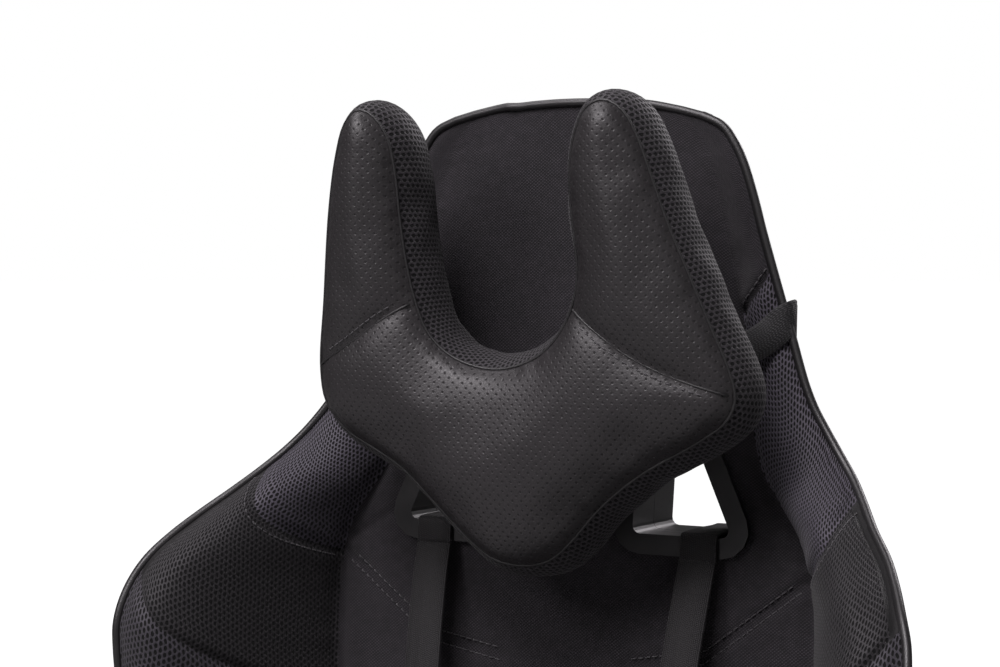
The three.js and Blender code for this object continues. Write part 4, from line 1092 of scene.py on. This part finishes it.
def cushion_mesh(outline_knots, welt_knots, size, place):
    """A sewn cushion: front, gusset and rear. place turns (across, up, forward) in mm into a point."""
    spacing, thick = size["spacing"], size["thick"]
    outline = resample(catmull([(x, k, 0) for x, k in outline_knots], 6, True), spacing, True)
    outline = resample(drawn_in(outline, size["inset"]), spacing, True)
    welts = [resample(catmull([(x, k, 0) for x, k in line], 6), spacing) for line in welt_knots]
    border = [(p.x, p.y) for p in outline]
    welts = [[p for p in welt if inside_polygon(np.array([(p.x, p.y)]), border)[0]] for welt in welts]
    flat, tris, rim, seams = plane_mesh(outline, welts, spacing)
    lines = [[*border, border[0]]] + [[(p.x, p.y) for p in welt] for welt in welts]
    gap, arc = polyline_distance(flat, lines)
    rim_gap, _ = polyline_distance(flat, lines[:1])
    welt_gap, _ = polyline_distance(flat, lines[1:])

    def dome(edge_gap):
        return math.sqrt(1 - (1 - clamp(edge_gap / CROWN_REACH, 0, 1)) ** 2)

    def crown_of(edge_gap, from_welt):
        return size["puff"] * dome(edge_gap) * (1 - WELT_DIP * math.exp(-from_welt / 8))

    verts = []
    for i, (x, k) in enumerate(flat):
        pucker = 0.9 * math.exp(-gap[i] / 9) * min(gap[i] / 3, 1)
        pucker *= noise.noise(Vector((arc[i] * 0.115, 1.7, 0.3)))
        broad = 1.3 * noise.noise(Vector((x * 0.021, k * 0.021, 6.1))) * clamp(gap[i] / CROWN_REACH, 0, 1)
        verts.append(place(x, k, crown_of(rim_gap[i], welt_gap[i]) + pucker + broad))
    front = len(verts)
    verts += [place(x, k, -thick - size["rear_puff"] * dome(rim_gap[i])) for i, (x, k) in enumerate(flat)]
    pinned = [i for i in range(front) if i in seams] + [front + i for i in rim]
    faces = tris + [tuple(front + k for k in reversed(face)) for face in tris]
    slots = [0] * len(tris) + [2] * len(tris)
    corners = [(flat[k % front][0] * MM, flat[k % front][1] * MM) for face in faces for k in face]
    for welt in welts:
        edge_gap, _ = polyline_distance(welt, lines[:1])
        for p, reach in zip(welt, edge_gap):
            p.z = crown_of(reach, 0)
    # The gusset, ring by ring from the front's edge to the rear's.
    steps, count = max(5, round(thick / spacing)), len(rim)
    rings = [rim]
    for t in (s / steps for s in range(1, steps)):
        rings.append(range(len(verts), len(verts) + count))
        for i, (p, along) in enumerate(zip(outline, directions(outline))):
            out = size["bulge"] * math.sin(math.pi * t) ** 0.8
            out += 0.9 * noise.noise(Vector((i * spacing * 0.06, t * 2.2, 8.3))) * math.sin(math.pi * t)
            verts.append(place(p.x + along.y * out, p.y - along.x * out, -thick * t))
    rings.append([front + i for i in rim])
    for s, (upper, lower) in enumerate(zip(rings, rings[1:])):
        low, high = thick * s / steps * MM, thick * (s + 1) / steps * MM
        for i in range(count):
            j = (i + 1) % count
            faces.append((upper[j], upper[i], lower[i], lower[j]))
            slots.append(1)
            near, far = i * spacing * MM, (i + 1) * spacing * MM
            corners += [(far, low), (near, low), (near, high), (far, high)]
    return verts, faces, slots, corners, pinned, outline, welts


FILLING = {
    "quality": 6, "mass": 0.25, "tension_stiffness": 18, "compression_stiffness": 12, "shear_stiffness": 6,
    "bending_stiffness": 4, "use_pressure": True, "uniform_pressure_force": 5.0, "shrink_min": -0.012,
    "vertex_group_mass": "seams", "pin_stiffness": 1,
}
FILL_FRAMES = 20
FILL_CAP = 8 * MM  # no point of a cover moves further than this


def inflate(obj, pinned):
    """Fills a sewn cushion by cloth simulation, with its seams held."""
    before = np.array([v.co for v in obj.data.vertices])
    group = obj.vertex_groups.new(name="seams")
    group.add(pinned, 1.0, "REPLACE")
    cloth = obj.modifiers.new("cloth", "CLOTH")
    for key, value in FILLING.items():
        setattr(cloth.settings, key, value)
    cloth.settings.effector_weights.gravity = 0
    cloth.collision_settings.use_collision = False
    cloth.collision_settings.use_self_collision = False
    cloth.point_cache.frame_start = 1
    cloth.point_cache.frame_end = FILL_FRAMES
    scene = bpy.context.scene
    for number in range(1, FILL_FRAMES + 1):
        scene.frame_set(number)
    graph = bpy.context.evaluated_depsgraph_get()
    filled = np.array([v.co for v in obj.evaluated_get(graph).data.vertices])
    obj.modifiers.clear()
    obj.vertex_groups.clear()
    scene.frame_set(1)
    moved = filled - before
    size = np.linalg.norm(moved, axis=1, keepdims=True)
    moved = np.nan_to_num(np.where(size > FILL_CAP, moved * FILL_CAP / np.maximum(size, 1e-12), moved))
    # The movement is evened out over neighbouring points, which takes small creases away.
    edges = np.array([e.vertices[:] for e in obj.data.edges])
    held = np.zeros(len(moved), bool)
    held[pinned] = True
    degree = np.bincount(edges.ravel(), minlength=len(moved))[:, None]
    for _ in range(4):
        total = np.zeros_like(moved)
        np.add.at(total, edges[:, 0], moved[edges[:, 1]])
        np.add.at(total, edges[:, 1], moved[edges[:, 0]])
        moved = np.where(held[:, None], moved, 0.5 * moved + 0.5 * total / degree)
    obj.data.vertices.foreach_set("co", (before + moved).ravel())
    obj.data.update()


def pillow_place(x, k, forward):
    """Head pillow coordinates to the shared frame; the pillow leans forward as it rises."""
    return from_back(x, -(PILLOW_FRONT + PILLOW_LEAN * k + forward), PILLOW_FOOT + k)


def welt_stitches(cover, welts, place):
    """Thread beside each welt, laid on the filled cover, in mm."""
    mesh = cover.data
    skin = BVHTree.FromPolygons([v.co for v in mesh.vertices], [tuple(f.vertices) for f in mesh.polygons])
    parts = []
    for welt in welts:
        spots = []
        for before, p, after in zip(welt[1:], welt[2:-2], welt[3:-1]):
            along = (after - before).normalized()
            x, k = p.x + along.y * WELT_STITCH_GAP, p.y - along.x * WELT_STITCH_GAP
            start = place(x, k, 60)
            spot, normal, _, _ = skin.ray_cast(start, place(x, k, 0) - start)
            if spot is not None:
                spots.append((spot / MM, normal if normal.y < 0 else -normal))
        if len(spots) > 3:
            parts += stitch_row(spots)
    return parts


def cushion(node, body, place, outline_knots, welt_knots, size):
    """A filled cushion: its cover, the cords in its seams and the thread beside its welts."""
    verts, faces, slots, uvs, pinned, outline, welts = cushion_mesh(outline_knots, welt_knots, size, place)
    cover = mesh_object(f"{node}_cover", verts, faces, [PERFORATED, GUSSET_MESH, TWILL], slots, uvs)
    inflate(cover, pinned)
    add_modifier(cover, "SUBSURF", levels=1, render_levels=1)
    apply_modifiers(cover)
    cover.data.polygons.foreach_set("use_smooth", [True] * len(cover.data.polygons))
    finish_piece(cover, body, "perforated_leather", node)
    cords = []
    for forward in (CORD_PROUD, -size["thick"] - CORD_PROUD):
        cords.append(tube_mesh([place(p.x, p.y, forward) for p in outline], CORD_RADIUS, 8, True))
    for welt in welts:
        cords.append(tube_mesh([place(p.x, p.y, p.z + CORD_PROUD) for p in welt], CORD_RADIUS * 0.8, 8))
    joined_piece(f"{node}_cord", cords, Vector, LEATHER, body, "smooth_leather")
    thread = welt_stitches(cover, welts, place)
    joined_piece(f"{node}_stitching", thread, in_metres, THREAD, body, "webbing")


def lumbar_place(x, k, forward):
    middle = (LUMBAR["low"] + LUMBAR["high"]) / 2
    return from_back(x, -(LUMBAR["front"] + forward), middle + k)


def lumbar_outline():
    half, reach = LUMBAR["half"], (LUMBAR["high"] - LUMBAR["low"]) / 2
    right = [
        (half * 0.4, -reach + 3), (half * 0.8, -reach + 8), (half - 4, -reach + 34), (half, 0),
        (half - 4, reach - 34), (half * 0.8, reach - 8), (half * 0.4, reach - 3),
    ]
    return right + [(-x, k) for x, k in reversed(right)]


def cushions():
    cushion("head_pillow", "head_cushion", pillow_place, PILLOW_OUTLINE, PILLOW_WELTS, PILLOW_SIZE)
    reach = (LUMBAR["high"] - LUMBAR["low"]) / 2
    curve = [(52, -reach + 4), (34, -70), (30, 0), (34, 70), (52, reach - 4)]
    welts = [[(side * x, k) for x, k in curve] for side in (-1, 1)]
    cushion("lumbar_cushion", "lumbar", lumbar_place, lumbar_outline(), welts, LUMBAR_SIZE)


# ------------------------------------------------------------------ straps


def ribbon(route, width, thick, across, wave):
    """A flat woven strap along a route of points: rounded selvedges, width along the across vector."""
    half, rim = width / 2, thick / 2
    section = [
        (-half, 0), (-half + rim, -rim), (0, -rim), (half - rim, -rim),
        (half, 0), (half - rim, rim), (0, rim), (-half + rim, rim),
    ]
    around = [*(a for a, _ in section), -half]
    return sweep(route, section, around, lambda along, _: across - along * across.dot(along), wave=wave)


SILL_TOP = 562 + 0.8 + 0.8
LIP_Y = -0.4 - 4.2 - 0.8 - 0.8
BEHIND_Y = 69.5


def strap_pieces():
    """Webbing from the lumbar cushion over the sills, down behind the backrest and back under its foot."""
    join, low_end = (LIP_Y - 0.6, SILL_TOP - 16), (-46, 398)
    front = [join, (-22, 500), (-34, 446), (-46, 404), (-58, 386)]
    rear = [
        join, (LIP_Y - 0.2, SILL_TOP - 3.4), (LIP_Y + 0.7, SILL_TOP - 0.3), (LIP_Y + 4, SILL_TOP + 0.3),
        (20, SILL_TOP + 0.6), (50, SILL_TOP + 0.6), (BEHIND_Y - 3, SILL_TOP + 0.3),
        (BEHIND_Y - 0.2, SILL_TOP - 2.6), (BEHIND_Y, SILL_TOP - 10), (BEHIND_Y + 0.6, 420),
        (BEHIND_Y + 0.8, 250), (BEHIND_Y - 0.5, 60), (BEHIND_Y - 4, 12), (48, -7), (20, -9),
        (-2, -6), (-14, 8), (-20, 50), (-29, 100),
    ]
    width, thick = WEBBING["width"] * MM, WEBBING["thick"] * MM
    for side, name in ((1, "left"), (-1, "right")):
        x = side * WEBBING["x"]
        for part, path in (("front", front), ("rear", rear)):
            route = []
            for p in resample(catmull([(0, y, h) for y, h in path], 8), 2.4):
                lean = side * 5 * smooth((SILL_TOP - p.z) / 120) if part == "front" else 0
                route.append(from_back(x - lean, p.y, p.z))
            verts, faces, uvs = ribbon(route, width, thick, Vector((1, 0, 0)), 0.35 * MM)
            obj = mesh_object(f"lumbar_webbing_{part}_{name}", verts, faces, [WEB], None, uvs)
            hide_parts(f"lumbar_strap_{part}_{name}")
            if part == "front":
                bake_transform(obj)
            else:
                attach(obj, "backrest")


HEAD_STRAP = {"height": 686, "edge_height": 701, "width": 21, "thick": 1.8}


def head_strap():
    """Elastic from behind the pillow's ends, up round both edges of the backrest and across its rear."""
    height, edge = HEAD_STRAP["height"], HEAD_STRAP["edge_height"]
    wide = profile(OUTLINE_HALF_WIDTH, edge) + 1.4
    rear_y = rear_point(0, height)[1] + 2 + 2.4
    half = [
        (106, -44, 664), (122, -24, 678), (136, -11, 689), (wide - 3, -7, edge - 1.5),
        (wide, -1, edge + 1),
        (wide - 3, 10, edge), (wide - 10.5, 36, edge - 3), (wide - 17, rear_y - 13, edge - 6),
        (wide - 36, rear_y - 3, edge - 10), (84, rear_y, height + 2), (60, rear_y, height),
        (0, rear_y, height),
    ]
    route = [from_back(*p) for p in resample(catmull(mirrored(half), 8), 3.0)]
    up = (from_back(0, 0, 1) - from_back(0, 0, 0)).normalized()
    verts, faces, uvs = ribbon(route, HEAD_STRAP["width"] * MM, HEAD_STRAP["thick"] * MM, up, 0.25 * MM)
    obj = mesh_object("head_pillow_elastic", verts, faces, [ELASTIC], None, uvs)
    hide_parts("head_strap")
    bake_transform(obj)


# ------------------------------------------------------------------ seat cushion


def seat_top_point(u, y):
    half = profile(SEAT_HALF_WIDTH, y)
    share = abs(u)
    bolster = profile(SEAT_BOLSTER, y)
    t = clamp((share - SEAT_CREASE) / (1 - SEAT_CREASE), 0, 1)
    dish = -6 * (1 - (share / SEAT_CREASE) ** 2)
    rise = dish * 0.4 if share < SEAT_CREASE else bolster * math.sin(math.pi * min(t * 0.72, 1))
    return u * half, y, profile(SEAT_TOP, y) + rise


SEAT_SEAMS_Y = (-205, -60, 70)


def seat_relief(u, y):
    x = seat_top_point(u, y)[0]
    half = profile(SEAT_HALF_WIDTH, y)
    crease_gap = abs(abs(u) - SEAT_CREASE) * half
    relief = 2.0 - groove(crease_gap, 4.0, 4.0)
    if abs(u) < SEAT_CREASE:
        for seam_y in SEAT_SEAMS_Y:
            relief += seam_form(abs(y - seam_y - SEAT_BOW * math.cos(math.pi * u)), 1.5, 16, 3.2, 3.4)
    edge_gap = min((1 - abs(u)) * half, y - SEAT["front"], SEAT["rear"] - y)
    relief -= groove(edge_gap, 3.0, 5.0)
    relief += 1.4 * noise.noise(Vector((x * 0.016, y * 0.016, 1.3)))
    relief += 0.4 * noise.noise(Vector((x * 0.05, y * 0.05, 4.9)))
    return relief + 0.9 * noise.noise(Vector((x * 0.03, y * 0.15, 2.1))) * math.exp(-crease_gap / 16)


def seat_surface(u, y):
    """Point and normal of the padded seat."""
    normal = normal_of(seat_top_point, u, y, 0.01, 2, SEAT["front"], SEAT["rear"])
    return Vector(seat_top_point(u, y)) + normal * seat_relief(u, y), normal


def seat_cover():
    """Seat cushion: twill sitting panel, mesh bolsters, leather skirt and cloth underside, with its trim."""
    us = columns_of(SEAT_CREASE, 26, 0.6, 64, 0.3)
    front, rear, bottom = SEAT["front"], SEAT["rear"], SEAT["bottom"]
    ys = [front + (rear - front) * t for t in spaced(110, 0.3)]
    points = [seat_surface(u, y)[0] for u in us for y in ys]
    uvs = arc_uvs(points, len(us), len(ys))
    faces = sheet_faces(len(us), len(ys))
    middles = [abs((a + b) / 2) for a, b in zip(us, us[1:])]
    slots = [0 if middles[face[0] // len(ys)] < SEAT_CREASE else 1 for face in faces]
    border = border_of(us, ys)
    tops = [seat_surface(u, y)[0] for u, y in border]
    start, centre_y = len(points), (front + rear) / 2
    for (u, y), top, run in zip(border, tops, distances(tops)):
        for k in range(SKIRT_STEPS + 1):
            t = k / SKIRT_STEPS
            pull = 8 * t - 3.0 * math.sin(math.pi * t)
            x = top.x * (1 - pull / 258) if abs(u) > 0.02 else top.x
            ripple = 0.8 * noise.noise(Vector((run * MM * 18, t * 3, 7.0))) * math.sin(math.pi * t)
            pulled_y = top.y + (centre_y - top.y) * pull / 240 - ripple * (1 if y < 0 else -1)
            points.append(Vector((x + math.copysign(ripple, x), pulled_y, top.z + (bottom - top.z) * t)))
            uvs.append((t * 0.09, run * MM))
    skirt = ring_faces(start, len(border), SKIRT_STEPS)
    # The underside is a fan from the skirt's lower edge to one point.
    under = [start + i * (SKIRT_STEPS + 1) + SKIRT_STEPS for i in range(len(border))]
    fan = [(a, len(points), b) for a, b in zip(under, under[1:] + under[:1])]
    points.append(Vector((0, centre_y, bottom + 0.5)))
    uvs.append((0, 0))
    faces += skirt + fan
    slots += [2] * len(skirt) + [3] * len(fan)
    obj = mesh_object(
        "seat_cushion_cover", [from_seat(p) for p in points], faces,
        [TWILL, BLACK_MESH, LEATHER, DUST_COVER], slots, corner_uvs(faces, uvs),
    )
    weld(obj)
    finish_piece(obj, "seat", "twill", "seat_cover", "seat_foam")
    rim = []
    for (u, _), top in zip(border, tops):
        rim.append(top + Vector((math.copysign(1.2, u) if abs(u) > 0.98 else 0, 0, 0.4)))
    cord = tube_mesh(resample(rim, 4.0, True), PIPING_RADIUS, 10, True)
    joined_piece("seat_piping", [cord], from_seat, PIPING, "seat", "smooth_leather")
    parts = upright_rows(seat_surface, SEAT_CREASE, 0.02, -288, 440, 200)
    parts += cross_rows(seat_surface, SEAT_SEAMS_Y, SEAT_BOW, 0.63, 100)
    joined_piece("seat_topstitching", parts, from_seat, THREAD, "seat", "webbing")


# ------------------------------------------------------------------ CAD pieces that stay


# Start of a node's name, its material, and the bevel of its edges in mm.
CAD_FINISHES = [
    ("lower_rail", ZINC, 0.5), ("upper_rail", COAT, 0.5), ("rail_glide", NYLON, 0.6),
    ("slide_handle", COAT, 0.0), ("handle_bracket", COAT, 0.8), ("seat_frame", COAT, 0.6),
    ("seat_band", ELASTIC, 0.4), ("recliner_plate", COAT, 0.8), ("recliner_hub", ZINC, 1.0),
    ("recliner_cover", PLASTIC, 3.0), ("plate_bolt", ZINC, 0.7), ("sync_rod", ZINC, 0.8),
    ("recline_lever", COAT, 0.8), ("lever_grip", PLASTIC, 3.5), ("recliner_arm", COAT, 0.8),
    ("arm_bolt", ZINC, 0.7), ("back_frame", COAT, 0.6), ("back_band", ELASTIC, 0.4),
    ("front_bezel", BEZEL, 1.3), ("rear_bezel", BEZEL, 1.0), ("head_strap_buckle", PLASTIC, 0.6),
    ("strap_buckle", PLASTIC, 0.6),
]


def dress_cad():
    for name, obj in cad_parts.items():
        if obj.hide_render:
            continue
        for prefix, material, bevel in CAD_FINISHES:
            if not name.startswith(prefix):
                continue
            for slot in obj.material_slots:
                slot.material = material
            if not obj.material_slots:
                obj.data.materials.append(material)
            if bevel:
                add_modifier(
                    obj, "BEVEL", width=bevel * MM, segments=3, limit_method="ANGLE",
                    angle_limit=math.radians(32), harden_normals=False,
                )
            break


# ------------------------------------------------------------------ studio


# name, place, height aimed at, size, power
LIGHTS = [
    ("key", (-0.1, -1.35, 3.0), 0.8, (1.1, 1.1), 84),
    ("front", (-1.3, -2.2, 2.4), 0.85, (0.9, 1.1), 42),
    ("fill", (2.4, -1.0, 1.5), 0.8, (1.0, 1.6), 6),
    ("rear", (0.7, 2.6, 2.2), 0.6, (1.2, 1.2), 34),
    ("top", (-1.0, 0.6, 2.9), 0.8, (1.4, 1.0), 20),
]
SOFT_WHITE = (1.0, 0.95, 0.985)
ROOM_LIGHT = 0.07  # the room is dim, and its backdrop white
FLOOR = {"radius": 30.0, "rings": 12, "steps": 96}


def area_light(name, location, aim, size, power):
    data = bpy.data.lights.new(name, "AREA")
    data.shape = "RECTANGLE"
    data.size, data.size_y = size
    data.energy = power
    data.color = SOFT_WHITE
    obj = make_object(name, data)
    obj.location = location
    obj.rotation_mode = "QUATERNION"
    obj.rotation_quaternion = (Vector((0, 0.15, aim)) - Vector(location)).to_track_quat("-Z", "Y")


def studio_floor():
    rings, steps = FLOOR["rings"], FLOOR["steps"]
    verts = [(0, 0, 0)]
    for r in range(1, rings + 1):
        reach = FLOOR["radius"] * (r / rings) ** 2
        angles = [2 * math.pi * k / steps for k in range(steps)]
        verts += [(reach * math.cos(angle), reach * math.sin(angle), 0) for angle in angles]
    faces = [(0, 1 + k, 1 + (k + 1) % steps) for k in range(steps)]
    for start in range(1, 1 + (rings - 1) * steps, steps):
        for k in range(steps):
            a, b = start + k, start + (k + 1) % steps
            faces.append((a, a + steps, b + steps, b))
    floor = mesh_object("studio_floor", verts, faces, [floor_material()])
    floor.location.z = -0.4 * MM


def studio():
    studio_floor()
    world = bpy.data.worlds.new("studio")
    world.use_nodes = True
    nodes, links = world.node_tree.nodes, world.node_tree.links
    background = nodes["Background"]
    background.inputs[0].default_value = (1.0, 1.0, 1.0, 1)
    level = nodes.new("ShaderNodeMapRange")
    level.inputs[3].default_value = ROOM_LIGHT
    level.inputs[4].default_value = 1.0
    links.new(nodes.new("ShaderNodeLightPath").outputs["Is Camera Ray"], level.inputs[0])
    links.new(level.outputs[0], background.inputs[1])
    bpy.context.scene.world = world
    for light in LIGHTS:
        area_light(*light)
    bpy.context.scene.view_settings.view_transform = "Standard"


def camera():
    data = bpy.data.cameras.new("view")
    data.lens = 78.84
    data.sensor_width = 36
    data.clip_start = 0.02
    data.clip_end = 200
    obj = make_object("view", data)
    obj.location = (0.5561, -1.0369, 0.929)
    obj.rotation_euler = (math.radians(90 - 3.1), 0, math.radians(25))
    bpy.context.scene.camera = obj


camera()
studio()
front_cover()
back_piping()
topstitching()
rear_cover()
cushions()
strap_pieces()
head_strap()
seat_cover()
dress_cad()
